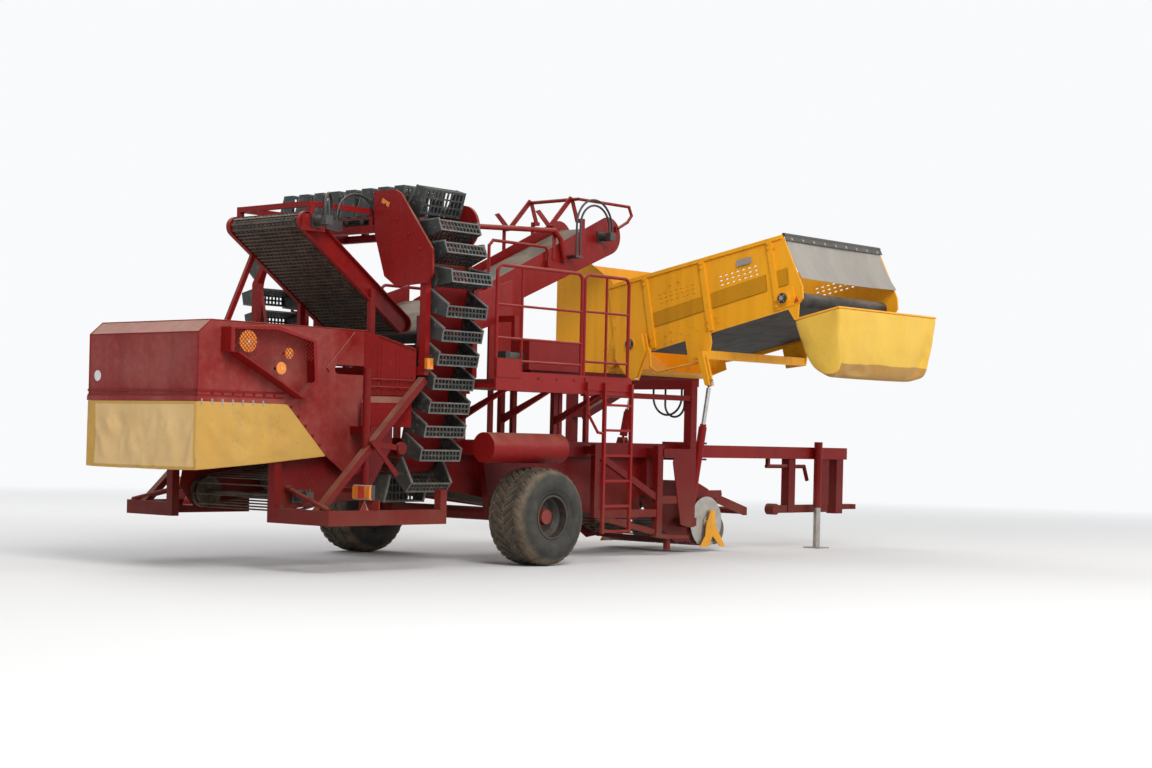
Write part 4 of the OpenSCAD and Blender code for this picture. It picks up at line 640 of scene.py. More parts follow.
def make_tyre(node, body):
    """A tyre with a lined sidewall and staggered tread blocks."""
    middle = (Vector(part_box(node)[0]) + Vector(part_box(node)[1])) / 2
    r, w, bead, base = TYRE.radius, TYRE.width / 2, TYRE.bead, TYRE.radius - sizes().tread

    def on_wheel(radius, y, angle):
        return middle + Vector((radius * math.cos(angle), y, radius * math.sin(angle)))

    profile = [(bead, w - 0.036), (bead + 0.020, w - 0.020), (bead + 0.052, w - 0.012),
               (bead + 0.058, w - 0.006), (bead + 0.070, w - 0.002), (r - 0.150, w), (r - 0.100, w - 0.003),
               (r - 0.094, w - 0.010), (r - 0.072, w - 0.014), (r - 0.045, w - 0.028),
               (base - 0.010, w - 0.052), (base, w - 0.085), (base, w * 0.35)]
    profile += [(p, -q) for p, q in profile[::-1]] + [(bead - 0.004, 0.0)]
    mesh = bmesh.new()
    angles = [2 * math.pi * k / TYRE.sides for k in range(TYRE.sides)]
    rings = [[mesh.verts.new(on_wheel(p, q, a)) for p, q in profile] for a in angles]
    loft(mesh, rings + rings[:1], caps=False)
    for face in mesh.faces:
        face.smooth = True
    # blocks: a zigzag of bars in four rows, whose ends drop at the shoulders
    shoulder, step = w - 0.052, 2 * math.pi / TYRE.blocks
    rows = [(-shoulder, -w * 0.52, 0.5, -0.020), (-w * 0.50, -w * 0.03, 0.0, 0.045),
            (w * 0.03, w * 0.50, 0.5, -0.045), (w * 0.52, shoulder, 0.0, 0.020)]
    for k in range(TYRE.blocks):
        for y0, y1, shift, lean in rows:
            centre = (y0 + y1) / 2
            corners = []
            for radius, drop, wide, long in ((base - 0.004, 0.0, 1.0, 1.0), (r - 0.0005, 0.016, 0.86, 0.95)):
                for y, sign in ((y0, -1), (y1, 1)):
                    for way in (-1, 1):
                        angle = (k + shift) * step + way * 0.33 * step * wide + sign * lean / r
                        lowered = drop if abs(y) > w - 0.06 else 0.0
                        corners.append(on_wheel(radius - lowered, centre + (y - centre) * long, angle))
            add_block(mesh, corners)
    new_piece("treaded_" + node, mesh, ["tyre"], body, node)


# ---- canvas

def hold(piece, vertices):
    """Names the vertices that a cloth hangs from."""
    piece.vertex_groups.new(name="held").add(vertices, 1.0, "REPLACE")


def simulate(piece, frames, stiffness, pressure=0.0):
    """Lets a cloth hang from its held vertices for some frames and keeps the shape."""
    cloth = piece.modifiers.new("cloth", "CLOTH").settings
    cloth.quality = 6
    cloth.mass = 0.5
    cloth.tension_stiffness = stiffness
    cloth.compression_stiffness = stiffness
    cloth.shear_stiffness = stiffness * 0.6
    cloth.bending_stiffness = 0.8
    cloth.air_damping = 2.0
    cloth.vertex_group_mass = "held"
    if pressure:
        cloth.use_pressure = True
        cloth.uniform_pressure_force = pressure
    scene = bpy.context.scene
    for frame in range(1, frames + 1):
        scene.frame_set(frame)
    shaped = piece.evaluated_get(bpy.context.evaluated_depsgraph_get())
    places = [v.co.copy() for v in shaped.data.vertices]
    piece.modifiers.clear()
    scene.frame_set(1)
    for vertex, place in zip(piece.data.vertices, places):
        vertex.co = place


def sheet_grid(rows, columns, place):
    """Vertices and faces of a grid whose points come from place(u, v), with u and v from 0 to 1."""
    points = [place(i / columns, j / rows) for j in range(rows + 1) for i in range(columns + 1)]
    wide = columns + 1
    starts = [j * wide + i for j in range(rows) for i in range(columns)]
    return points, [], [(k, k + 1, k + wide + 1, k + wide) for k in starts]


def thicken(piece, thickness):
    """Gives a sheet its thickness and rounds it."""
    solid = piece.modifiers.new("thickness", "SOLIDIFY")
    solid.thickness = thickness
    solid.offset = 0.0
    smooth = piece.modifiers.new("smooth", "SUBSURF")
    smooth.levels = smooth.render_levels = 1


class CURTAIN:
    """The curtain's corners from the axle's middle, and each side's length, in metres."""
    rear, top, low = -3.712, 1.4797, 0.890
    right, left = -0.732, 0.852
    front_top, front_low = -2.720, -2.250
    low_front = 1.020
    side = 1.20
    columns, rows = 132, 20


def make_curtain():
    """One sheet round the hood's two sides and rear, hung from its top edge and held at the front edges."""
    h = CURTAIN
    side, back, columns, rows = h.side, h.left - h.right, h.columns, h.rows
    whole = 2 * side + back

    def place(u, v):
        s = u * whole
        ahead = max(side - s, 0.0, s - side - back) / side
        y = h.right + min(max(s - side, 0.0), back)
        top = Vector((h.rear + (h.front_top - h.rear) * ahead, y, h.top))
        low = Vector((h.rear + (h.front_low - h.rear) * ahead, y, h.low + (h.low_front - h.low) * ahead))
        # upright waves, and folds that fan out from the corners at the top
        ripple = 0.014 * math.sin(s * 14 + 2 * math.sin(s * 2.3) - 1.6 * v)
        ripple += 0.006 * math.sin(s * 23 + 5 * v + 1)
        near, down = min(abs(s - side), abs(s - side - back)), v * 0.6
        ripple += 0.011 * math.sin(16 * math.atan2(down, near + 0.05)) * min(1, 2 * math.hypot(down, near))
        ripple = (ripple - 0.008) * min(1, v * 3) * min(1, s * 3, (whole - s) * 3) * min(1, near * 12)
        out = Vector((-1, 0, 0)) if side <= s <= side + back else Vector((0, -1 if s < side else 1, 0))
        return at(*(top.lerp(low, v) + out * ripple))

    piece = new_piece("curtain_canvas", sheet_grid(rows, columns, place), ["canvas", "pale"], "frame",
                      "curtain", smooth=True)
    # the rear is bleached but for its hems
    first, last = columns * side / whole + 1, columns * (side + back) / whole - 5
    for face in piece.data.polygons:
        row, column = divmod(face.index, columns)
        at_rear = abs(face.center.x - at(h.rear, 0, 0).x) < 0.04
        if at_rear and first <= column <= last and 0 < row < rows - 1:
            face.material_index = 1
    edges = [j * (columns + 1) + i for j in range(rows + 1) for i in (0, columns)]
    corners = [rows * (columns + 1) + round(columns * s / whole) for s in (side, side + back)]
    hold(piece, [*range(columns + 1), *edges, *corners])
    simulate(piece, 18, 30)
    thicken(piece, sizes().cloth)
    # tabs that hook the sides' top edge to the hood
    mesh = bmesh.new()
    for k in range(7):
        off = 0.06 + k * 0.135
        for s, out in ((side - off, -1), (side + back + off, 1)):
            p = place(s / whole, 0.0)
            skin = p + Vector((0, out * 0.001, 0))
            add_box(mesh, skin - Vector((0.009, 0.003, 0.030)), skin + Vector((0.009, 0.003, 0.022)))
            add_disc(mesh, p + Vector((0, out * 0.004, 0.010)), (0, 1, 0), 0.006, 0.006, 10)
    new_piece("curtain_tabs", mesh, ["apron"], "frame")


class BAG:
    """The bag's outline in Y and Z from the axle's middle, its ends in X, and its depth, in metres."""
    outline = [(-1.980, 2.540), (-2.090, 2.200), (-2.190, 2.040), (-2.290, 1.990), (-2.410, 1.985),
               (-2.500, 2.015), (-2.545, 2.100), (-2.560, 2.660)]
    back, front = 3.190, 5.100
    brim, deep = 2.60, 0.62
    columns, rows, panel_steps = 44, 38, 10


def outline_point(points, k):
    """Point at share k of the way along a broken line."""
    lengths = [math.dist(a, b) for a, b in zip(points, points[1:])]
    left = k * sum(lengths)
    for a, b, size in zip(points, points[1:], lengths):
        if left <= size + 1e-9:
            return tuple(p + (q - p) * left / size for p, q in zip(a, b))
        left -= size
    return points[-1]


def make_bag():
    """A canvas bag: one long strip for its walls and bottom and two end panels, sewn into one mesh."""
    columns, rows, steps = BAG.columns, BAG.rows, BAG.panel_steps
    mesh = bmesh.new()
    grid = []
    for j in range(rows + 1):
        y, z = outline_point(BAG.outline, j / rows)
        deep = (BAG.brim - z) / BAG.deep
        line = []
        for i in range(columns + 1):
            u = i / columns
            x = BAG.back + 0.004 + (BAG.front - BAG.back - 0.008) * u
            x += 0.085 * deep * (0.5 - u) * 2 * abs(2 * u - 1) ** 2
            # a hollow fold runs down from the near corner of the long wall
            hollow = 0.0
            if y < -2.48 and deep > 0.02:
                hollow = 0.085 * deep * math.sin(math.pi * max(0.0, min(1.0, u / (0.55 * deep))))
            sag = 0.035 * math.sin(math.pi * u) * max(0.0, deep - 0.85) / 0.15
            line.append(mesh.verts.new(at(x, y + hollow, z - sag)))
        grid.append(line)
    for j in range(rows):
        y, z = outline_point(BAG.outline, (j + 0.5) / rows)
        for i in range(columns):
            face = mesh.faces.new((grid[j][i], grid[j][i + 1], grid[j + 1][i + 1], grid[j + 1][i]))
            # painted shade: faces at the bag's bottom take the darker canvas, which also has more stains
            face.material_index = 1 if z < 2.095 and y < -2.17 else 0
    # end panels: rows between the two halves of the outline
    half = rows // 2
    for i in (0, columns):
        previous = None
        for j in range(half + 1):
            a, b = grid[j][i], grid[rows - j][i]
            line = [a] * (steps + 1)
            if j < half:
                line = [a, *(mesh.verts.new(a.co.lerp(b.co, k / steps)) for k in range(1, steps)), b]
            for k in range(steps if previous else 0):
                ring = list(dict.fromkeys((previous[k], previous[k + 1], line[k + 1], line[k])))
                if len(ring) > 2:
                    mesh.faces.new(ring if i else ring[::-1])
            previous = line
    bmesh.ops.recalc_face_normals(mesh, faces=mesh.faces)
    # a bag has spare cloth: its walls start slightly bowed, the same way in each run
    noise.seed_set(5)
    for vertex in mesh.verts:
        if not on_rim(vertex.co):
            broad, fine = noise.noise_vector(vertex.co * 2.7), noise.noise_vector(vertex.co * 7.0)
            vertex.co += broad * 0.014 + fine * 0.005
    piece = new_piece("bag_canvas", mesh, ["bag", "sagged"], "bunker", "bag", smooth=True)
    hold(piece, [v.index for v in piece.data.vertices if on_rim(v.co)])
    simulate(piece, 22, 18, pressure=0.2)
    # it stays within its node's box, but for a small bulge
    low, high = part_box("bag")
    for vertex in piece.data.vertices:
        vertex.co = Vector([min(max(c, a - 0.010), b + 0.010) for c, a, b in zip(vertex.co, low, high)])
    thicken(piece, sizes().cloth)


def on_rim(place):
    y, z = place.y + MIDDLE.y, place.z
    (y0, z0), (y1, z1) = BAG.outline[0], BAG.outline[-1]
    return z > z0 + (z1 - z0) * (y - y0) / (y1 - y0) - 0.02


# ---- guard, steep web and lamps

def inside_span(outline, start, way):
    """Stretch of a line that lies within a convex outline, as two shares of way, or None."""
    sides = list(zip(outline, outline[1:] + outline[:1]))
    area = sum(a[0] * b[1] - a[1] * b[0] for a, b in sides)
    low, high = -1e9, 1e9
    for a, b in sides:
        n = Vector((b[1] - a[1], a[0] - b[0])) * (1 if area > 0 else -1)
        gap = n.dot(Vector(a) - start)
        speed = n.dot(way)
        if speed > 1e-9:
            high = min(high, gap / speed)
        elif speed < -1e-9:
            low = max(low, gap / speed)
        elif gap < 0:
            return None
    return (low, high) if high - low > 0.01 else None


def shrunk(outline, by):
    """An outline moved in towards its middle by about a distance."""
    middle = sum((Vector(point) for point in outline), Vector((0, 0))) / len(outline)
    offs = [Vector(point) - middle for point in outline]
    return [tuple(middle + off * (1 - by / off.length * 1.25)) for off in offs]


class GUARD:
    """Side guard in X and Z from the axle's middle, its outer face and depth, and its discs, in metres."""
    outline = [(-3.462, 2.123), (-2.949, 2.165), (-2.496, 2.047), (-2.474, 1.674), (-2.632, 1.528),
               (-3.381, 1.906), (-3.462, 1.910)]
    middle = Vector((-2.97, 1.85))
    face, back = -0.860, -0.7205
    discs = [(-3.265, 2.007, 0.095), (-2.890, 1.790, 0.055), (-2.804, 1.924, 0.048)]
    wire = 0.0021


def make_guard():
    """A folded rim round woven wire, with discs behind it."""
    g = GUARD
    mesh = bmesh.new()
    fold = [(0, g.back), (0, g.face + 0.006), (0.003, g.face), (0.034, g.face), (0.034, g.face + 0.005),
            (0.006, g.face + 0.008), (0.006, g.back)]
    rings = [[mesh.verts.new(at(u, y, v)) for u, v in shrunk(g.outline, by)] for by, y in fold]
    loft(mesh, rings + rings[:1], caps=False)
    reach = shrunk(g.outline, 0.022)
    pitch = sizes().mesh * 0.5
    for way, layer in ((Vector((1, 1)).normalized(), 0.0075), (Vector((1, -1)).normalized(), 0.0100)):
        for k in range(-60, 61):
            start = g.middle + Vector((-way.y, way.x)) * pitch * k
            span = inside_span(reach, start, way)
            if span:
                a, b = (at(p.x, g.face + layer, p.y) for p in (start + way * span[0], start + way * span[1]))
                add_bar(mesh, a, b, g.wire, 4)
    # each disc, its bolt and the post behind it
    for u, v, r in g.discs:
        for depth, size, thickness, sides, look in ((0.017, 1, 0.007, 40, 1), (0.012, 0.18, 0.006, 12, 2),
                                                    (0.060, 0.30, 0.080, 16, 0)):
            add_disc(mesh, at(u, g.face + depth, v), (0, 1, 0), r * size, thickness, sides, look)
    new_piece("mesh_guard", mesh, ["red", "orange", "steel"], "frame", "side_guard")


class STEEP:
    """Steep web's pulleys in X and Z from the axle's middle, its width in Y, and its count of ribs."""
    pulleys = [(-1.100, 2.290, 0.090), (-2.330, 3.150, 0.090)]
    right, left = -0.430, 0.480
    ribs, weaves = 74, 15


def make_steep_web():
    """A dense web: ribs on a woven belt, with shafts and drums at its ends."""
    w = STEEP
    mesh = bmesh.new()
    places, total = belt_places([(x, z, r - 0.017) for x, z, r in w.pulleys], w.ribs * 2)
    step = total / (w.ribs * 2)
    section = [(w.right, 0.0), (w.left, 0.0), (w.left, 0.005), (w.right, 0.005)]
    belt = [[mesh.verts.new(at(x + math.cos(a) * r, y, z + math.sin(a) * r)) for y, r in section]
            for x, z, a in places]
    loft(mesh, belt + belt[:1], 1, caps=False)
    for k, (x, z, a) in enumerate(places):
        turn = turned(at(x, 0, z), math.pi / 2 - a, "Y")
        if k % 2 == 0:
            add_box(mesh, (-step * 0.42, w.right + 0.004, 0.004), (step * 0.42, w.left - 0.004, 0.0165), turn)
            continue
        for n in range(w.weaves):
            y = w.right + 0.03 + (w.left - w.right - 0.06) * (n + (k // 2 % 2) * 0.5) / w.weaves
            add_box(mesh, (-0.006, y - 0.011, 0.004), (0.006, y + 0.011, 0.0125), turn)
    for x, z, r in w.pulleys:
        add_bar(mesh, at(x, w.right - 0.020, z), at(x, w.left + 0.020, z), 0.025, 20, 2)
        add_bar(mesh, at(x, w.right + 0.010, z), at(x, w.left - 0.010, z), r - 0.020, 40)
    new_piece("ribbed_web", mesh, ["rods", "belt", "steel"], "frame", "steep_web")


class LAMPS:
    """Rear lamps on the left in metres; the right ones mirror them."""
    # from the axle's middle
    x, middle, edge = -2.250, 1.260, 1.440
    # plates, box, rims, and the amber lamp on the ring's post: X from x, Y from middle, Z, and the finish
    boxes = [(0, 0.012, -0.080, edge - middle, 0.5605, 0.6505, 0),
             (0.0002, 0.004, -0.082, 0.082, 0.500, 0.5605, 0),
             (-0.028, 0.012, -0.115, 0.115, 0.650, 0.780, 3),
             (-0.036, -0.028, -0.115, 0.115, 0.650, 0.657, 4),
             (-0.036, -0.028, -0.115, 0.115, 0.773, 0.780, 4),
             (0.715, 0.770, -0.020, 0.004, 1.820, 1.950, 3),
             (0.705, 0.780, -0.010, 0.026, 1.835, 1.935, 1)]
    chambers = [(-0.076, 1), (0, 2), (0.076, 1)]
    # half width, foot, tip, depth and finish of a reflector's two triangles
    triangles = [(0.076, 0.506, 0.642, -0.004, 4), (0.062, 0.5144, 0.6252, -0.0085, 2)]


def make_lamps():
    """Rear lamps in three chambers under clear rims, triangular reflectors and amber side lamps."""
    boxes = list(LAMPS.boxes)
    for y, look in LAMPS.chambers:
        boxes.append((-0.052, -0.028, y - 0.035, y + 0.035, 0.659, 0.771, look))
        for n in range(6):
            z = 0.664 + 0.018 * n
            boxes.append((-0.0545, -0.052, y - 0.033, y + 0.033, z, z + 0.010, look))
    mesh = bmesh.new()
    for side in (-1, 1):
        def spot(x, y, z):
            return at(LAMPS.x + x, side * (LAMPS.middle + y), z)

        for x0, x1, y0, y1, z0, z1, look in boxes:
            add_box(mesh, spot(x0, y0, z0), spot(x1, y1, z1), index=look)
        for wide, foot, tip, deep, look in LAMPS.triangles:
            add_plate(mesh, [(-wide, foot), (wide, foot), (0, tip)],
                      lambda u, v, t: spot(deep + t * 0.0045, u, v), look)
    bmesh.ops.recalc_face_normals(mesh, faces=mesh.faces)
    new_piece("lamps", mesh, ["red", "orange", "lens", "black", "clear"], "frame", "tail_lamps")


# ---- trim of the hood, the flared panel, the bunker and its flap

class TRIM:
    """The hood's skin and its rows of bolts from the axle's middle, in metres."""
    right, left, rear, bend, roof = -0.720, 0.840, -3.7005, -3.570, 2.180
    ribs = (1.528, 1.572)
    # start, end, count, axis and size of each row of bolts
    bolts = [((-3.60, -0.722, 1.55), (-2.80, -0.722, 1.55), 7, RIGHTWARD, 0.010),
             ((-1.715, -0.722, 1.10), (-1.715, -0.722, 2.00), 9, RIGHTWARD, 0.012),
             ((-2.70, -0.722, 1.50), (-2.28, -0.722, 1.08), 5, RIGHTWARD, 0.011),
             ((-1.5605, -0.62, 3.44), (-1.5605, -1.25, 2.86), 4, (-1, 0, 0), 0.012),
             ((-0.64, -1.481, 1.80), (0.9, -1.481, 1.80), 6, RIGHTWARD, 0.012),
             ((2.86, -0.711, 1.12), (3.24, -0.711, 1.12), 4, RIGHTWARD, 0.015)]


def make_trim():
    """Pressed ribs, seams and bolts on the hood and the frame, and two blank plates."""
    s = TRIM
    mesh = bmesh.new()
    # two pressed ribs round the hood, above the curtain
    for z in s.ribs:
        for y in (s.right - 0.0015, s.left + 0.0015):
            end = -2.765 + (z - 1.5) * 0.3
            add_box(mesh, at(-3.712, y - 0.007, z - 0.009), at(end, y + 0.007, z + 0.009))
        add_box(mesh, at(-3.712, s.right - 0.006, z - 0.009), at(-3.698, s.left + 0.008, z + 0.009))
    # welded seams at the hood's corners and across its roof
    seam = [(s.rear, 1.52), (s.rear, 2.070), (s.bend, s.roof), (-1.765, s.roof)]
    for y in (s.right - 0.0005, s.left + 0.0005):
        for (x0, z0), (x1, z1), radius in zip(seam, seam[1:], (0.006, 0.006, 0.005)):
            add_bar(mesh, at(x0, y, z0), at(x1, y, z1), radius, 8)
    for x, z in ((s.bend, s.roof + 0.0005), (s.rear, 2.0705)):
        add_bar(mesh, at(x, s.right, z), at(x, s.left, z), 0.005, 8)
    for k in (1, 2, 3):
        y = s.right + (s.left - s.right) * k / 4
        add_bar(mesh, at(-3.560, y, s.roof + 0.0005), at(-1.80, y, s.roof + 0.0005), 0.004)
    for start, end, count, axis, size in s.bolts:
        bolt_row(mesh, at(*start), at(*end), count, axis, size)
    # blank plates
    add_disc(mesh, at(-3.7025, 0.713, 1.700), (1, 0, 0), 0.048, 0.004, 40, 1)
    add_box(mesh, at(4.00, -0.673, 1.085), at(4.36, -0.6702, 1.165), index=1)
    # amber reflector on the ring's cover
    tilt = turned(at(-1.5605, -0.700, 3.385), math.radians(28))
    add_box(mesh, (-0.003, -0.055, -0.022), (0.0, 0.055, 0.022), tilt, 2)
    new_piece("trim", mesh, ["red", "white", "orange"], "frame")


def strip(u0, u1, v0, v1):
    return [(u0, v0), (u1, v0), (u1, v1), (u0, v1)]


class FLARE:
    """The flared panel's inner and outer edge in X and Y from the axle's middle, and its outlines."""
    inner, outer = Vector((-1.800, -0.7215)), Vector((-1.542, -1.136))
    # the sheet, two ribs, and flanges along the lower and the sloping upper edge, with their depths
    plates = [([(0.0, 1.590), (1.0, 1.590), (1.0, 2.020), (0.30, 2.140), (0.0, 2.165)], 0.008),
              ([(0.275, 1.604), (0.325, 1.604), (0.325, 2.060), (0.275, 2.065)], 0.020),
              ([(0.635, 1.604), (0.685, 1.604), (0.685, 2.020), (0.635, 2.025)], 0.020),
              (strip(0.0, 1.0, 1.590, 1.602), 0.030),
              ([(0.30, 2.128), (1.0, 2.008), (1.0, 2.020), (0.30, 2.140)], 0.024)]


def make_flare():
    """The flared panel between the hood and the ring: a folded sheet with ribs, flanges and two rods."""
    along = FLARE.outer - FLARE.inner
    out = Vector((along.y, -along.x)).normalized()

    def place(u, v, t):
        p = FLARE.inner + along * u + out * t
        return at(p.x, p.y, v)

    mesh = bmesh.new()
    for outline, depth in FLARE.plates:
        add_plate(mesh, outline, lambda u, v, t: place(u, v, t * depth))
    # a sloping shelf under it, and the sheet that hangs from the shelf
    add_plate(mesh, strip(0.02, 0.98, 0, 1),
              lambda u, w, t: place(u, 1.592 - 0.072 * w - 0.006 * t, 0.110 * w))
    add_plate(mesh, strip(0.02, 0.98, 1.520, 1.300), lambda u, v, t: place(u, v, 0.104 + 0.006 * t))
    for z in (1.670, 1.740):
        add_bar(mesh, place(0.02, z, 0.034), place(0.98, z - 0.012, 0.034), 0.006, 8)
        for u in (0.04, 0.96):
            add_bar(mesh, place(u, z - 0.012 * u, 0.0), place(u, z - 0.012 * u, 0.036), 0.006, 8)
    spread = (out.x, out.y, 0)
    bolt_row(mesh, place(0.0, 1.64, 0.010), place(0.0, 2.12, 0.010) + Vector((0.03, 0, 0)), 5, spread, 0.009)
    bolt_row(mesh, place(0.94, 1.62, 0.008), place(0.94, 2.00, 0.008), 4, spread, 0.010)
    bmesh.ops.recalc_face_normals(mesh, faces=mesh.faces)
    new_piece("flared_sheet", mesh, ["red"], "frame", "flared_panel")


class BUNKER:
    """The bunker's faces in X, its walls' fittings in Y and Z, and its bearings, from the axle's middle."""
    near, far = 3.180, 5.080
    strips = [(-0.050, -0.790), (-0.860, -1.600), (-1.710, -1.880)]
    ribs = [0.085, -0.720, -1.635]
    bolts = [(-0.30, 2.99), (-0.42, 3.02), (-0.25, 2.42), (-0.33, 2.47), (-0.25, 2.33), (-0.34, 2.36),
             (-0.95, 2.61), (-0.98, 2.56), (-1.72, 3.33), (-1.66, 3.18), (0.50, 2.52), (0.50, 2.66)]
    bearings = [(3.128, -1.870, 2.780), (3.046, 0.170, 2.320)]


def make_bunker_trim():
    """Shaded strips between the ribs, bolts, bearings, a blank plate and a red triangle on the bunker."""
    b = BUNKER
    mesh = bmesh.new()
    for x, out in ((b.near, -1), (b.far, 1)):
        # painted shade: thin darker strips where the upper wall overhangs the lower one and the recess lies in
        # shadow
        for y0, y1 in b.strips:
            outline = [(y0 - 0.004, 2.656 - 0.24 * y0), (y1 + 0.004, 2.656 - 0.24 * y1),
                       (y1 - 0.021, 2.504 - 0.228 * y1), (y0 - 0.029, 2.504 - 0.228 * y0)]
            # reversed on the far wall, so that it faces out there too
            add_plate(mesh, outline[::-out], lambda u, v, t: at(x + out * (0.0002 + 0.001 * t), u, v), 1)
        for y in b.ribs:
            for t in (0.03, 0.10, 0.86, 0.95):
                z = (3.09 - 0.19 * y) * (1 - t) + (2.292 - 0.2256 * y) * t
                bolt(mesh, at(x + out * 0.035, y - 0.155 * t, z), (out, 0, 0), 0.013)
        for y, z in b.bolts:
            bolt(mesh, at(x + out * 0.012, y, z), (out, 0, 0), 0.010)
    # bearings with a black ring, a bright shaft end and four bolts
    for x, y, z in b.bearings:
        discs = [(0.010, 0, 0, 0.056, 0.014, 32, 2), (0.022, 0, 0, 0.026, 0.014, 20, 3)]
        for k in range(4):
            a = math.pi / 4 + math.pi / 2 * k
            discs.append((0.018, 0.042 * math.cos(a), 0.042 * math.sin(a), 0.008, 0.008, 6, 3))
        for depth, across, up, radius, thickness, sides, look in discs:
            add_disc(mesh, at(x - depth, y + across, z + up), (1, 0, 0), radius, thickness, sides, look)
    tilt = turned(at(b.near - 0.013, -1.315, 3.196), math.radians(-11))
    add_box(mesh, (-0.002, -0.100, -0.034), (0.0, 0.100, 0.034), tilt, 4)
    add_plate(mesh, [(-1.995, 2.735), (-2.055, 2.745), (-2.022, 2.800)],
              lambda u, v, t: at(b.near - 0.0145 - 0.003 * t, u, v), 5)
    new_piece("bunker_trim", mesh, ["yellow", "inset", "black", "steel", "apron", "lens"], "bunker")


class FLAP:
    """The flap's upper bar and lower edge in Y and Z, and its ends in X, from the axle's middle."""
    top, low = (-1.812, 3.468), (-2.064, 2.992)
    near, far = 3.196, 5.064
    inset, thickness = 0.016, 0.010


def make_flap():
    """A rubber flap that hangs in a hollow curve from a bolted bar, inside the place of its solid."""
    f = FLAP
    (y0, z0), (y1, z1) = f.top, f.low
    width = f.far - f.near - 2 * f.inset

    def place(u, v):
        sag = 0.050 * math.sin(math.pi * v) * (0.75 + 0.25 * math.cos(2 * math.pi * (u - 0.5)))
        curl = 0.006 * math.sin(u * 17 + 1) * v * v
        z = z0 + (z1 - z0) * v - sag * 0.45 - 0.010 * math.sin(math.pi * u) * v
        return at(f.near + f.inset + width * u, y0 + (y1 - y0) * v + sag * 0.85 + curl, z)

    piece = new_piece("hanging_flap", sheet_grid(22, 60, place), ["apron"], "bunker", "bunker_flap",
                      smooth=True)
    thicken(piece, f.thickness)
    # the bar, and the bolted strip that clamps the flap
    mesh = bmesh.new()
    lean = Vector((0, y1 - y0, z1 - z0)).normalized()
    out = Vector((0, lean.z, -lean.y))
    a, b = at(f.near, y0, z0), at(f.far, y0, z0)
    add_bar(mesh, a, b, 0.020, 20)
    add_plate(mesh, strip(0, 1, 0.012, 0.078),
              lambda u, v, t: a.lerp(b, u) + lean * v + out * (0.007 + 0.006 * t))
    on_strip = lean * 0.056 + out * 0.013
    bolt_row(mesh, a + on_strip, b + on_strip, 9, out, 0.012, 1)
    bmesh.ops.recalc_face_normals(mesh, faces=mesh.faces)
    new_piece("flap_bar", mesh, ["black", "steel"], "bunker")


# ---- stage

BACKDROP = (0.95, 0.955, 0.965, 1)


def blend(tree, factor, first, second, output):
    """Mixes two shaders and links them to a tree's output."""
    mixed = tree.nodes.new("ShaderNodeMixShader")
    for source, socket in zip((factor, first, second), mixed.inputs):
        tree.links.new(source, socket)
    tree.links.new(mixed.outputs[0], tree.nodes[output].inputs["Surface"])


def make_floor():
    """A large floor that turns into the pale backdrop far off."""
    mesh = bmesh.new()
    bmesh.ops.create_grid(mesh, x_segments=1, y_segments=1, size=60)
    # just below the tyres, so that their contact doesn't flicker
    bmesh.ops.translate(mesh, verts=mesh.verts, vec=(0, 0, -0.0005))
    data = bpy.data.meshes.new("floor")
    mesh.to_mesh(data)
    mesh.free()
    floor = bpy.data.objects.new("floor", data)
    bpy.context.collection.objects.link(floor)
    f = Finish("floor_pale", Roughness=0.9, Base_Color=(0.72, 0.71, 0.69, 1))
    far = f.node("VectorMath", {"operation": "LENGTH"}, {0: f.where()}, 1).between(9.0, 24.0)
    glow = f.node("Emission", inputs={"Color": BACKDROP})
    blend(f.tree, far.socket, f.shader.outputs[0], glow.socket, "Material Output")
    data.materials.append(f.material)


def make_light():
    """A soft world that looks like the backdrop, and three large lamps."""
    world = bpy.data.worlds.new("studio")
    bpy.context.scene.world = world
    world.use_nodes = True
    tree = world.node_tree
    soft = tree.nodes["Background"]
    soft.inputs["Color"].default_value = (0.92, 0.95, 1.0, 1)
    soft.inputs["Strength"].default_value = 0.62
    white = tree.nodes.new("ShaderNodeBackground")
    white.inputs["Color"].default_value = BACKDROP
    rays = tree.nodes.new("ShaderNodeLightPath")
    either = tree.nodes.new("ShaderNodeMath")
    either.operation = "MAXIMUM"
    for ray, socket in zip(("Is Camera Ray", "Is Glossy Ray"), either.inputs):
        tree.links.new(rays.outputs[ray], socket)
    blend(tree, either.outputs[0], soft.outputs[0], white.outputs[0], "World Output")
    for name, place, power, size in (("key", (-9, -14, 13), 2600, 9.0), ("fill", (12, -12, 8), 900, 8.0),
                                     ("back", (2, 14, 12), 900, 9.0)):
        lamp = bpy.data.lights.new(name, "AREA")
        lamp.energy = power
        lamp.size = size
        holder = bpy.data.objects.new(name, lamp)
        holder.location = place
        holder.rotation_euler = (UP * 1.4 - Vector(place)).to_track_quat("-Z", "Y").to_euler()
        bpy.context.collection.objects.link(holder)


def make_camera():
    """The photograph's view: a level lens shifted up, rolled slightly, from the machine's right rear."""
    ahead = Vector((0.749, 0.663, 0)).normalized()
    right = ahead.cross(UP)
    roll = math.radians(1.3)
    side = right * math.cos(roll) + UP * math.sin(roll)
    up = UP * math.cos(roll) - right * math.sin(roll)
    # the photograph's width and its solved focal length and shifts, in its own pixels
    across, focal, shift_x, shift_y = 1152, 2000, 1.3, 56
    lens = bpy.data.cameras.new("photo_view")
    lens.sensor_width = 36.0
    lens.lens = focal / across * lens.sensor_width
    lens.shift_x = shift_x / across
    lens.shift_y = shift_y / across
    lens.clip_end = 200
    camera = bpy.data.objects.new("photo_view", lens)
    facing = Matrix((side, up, -ahead)).transposed().to_4x4()
    camera.matrix_world = Matrix.Translation(at(-14.27, -14.36, 1.22)) @ facing
    bpy.context.collection.objects.link(camera)
    bpy.context.scene.camera = camera


# ---- operators

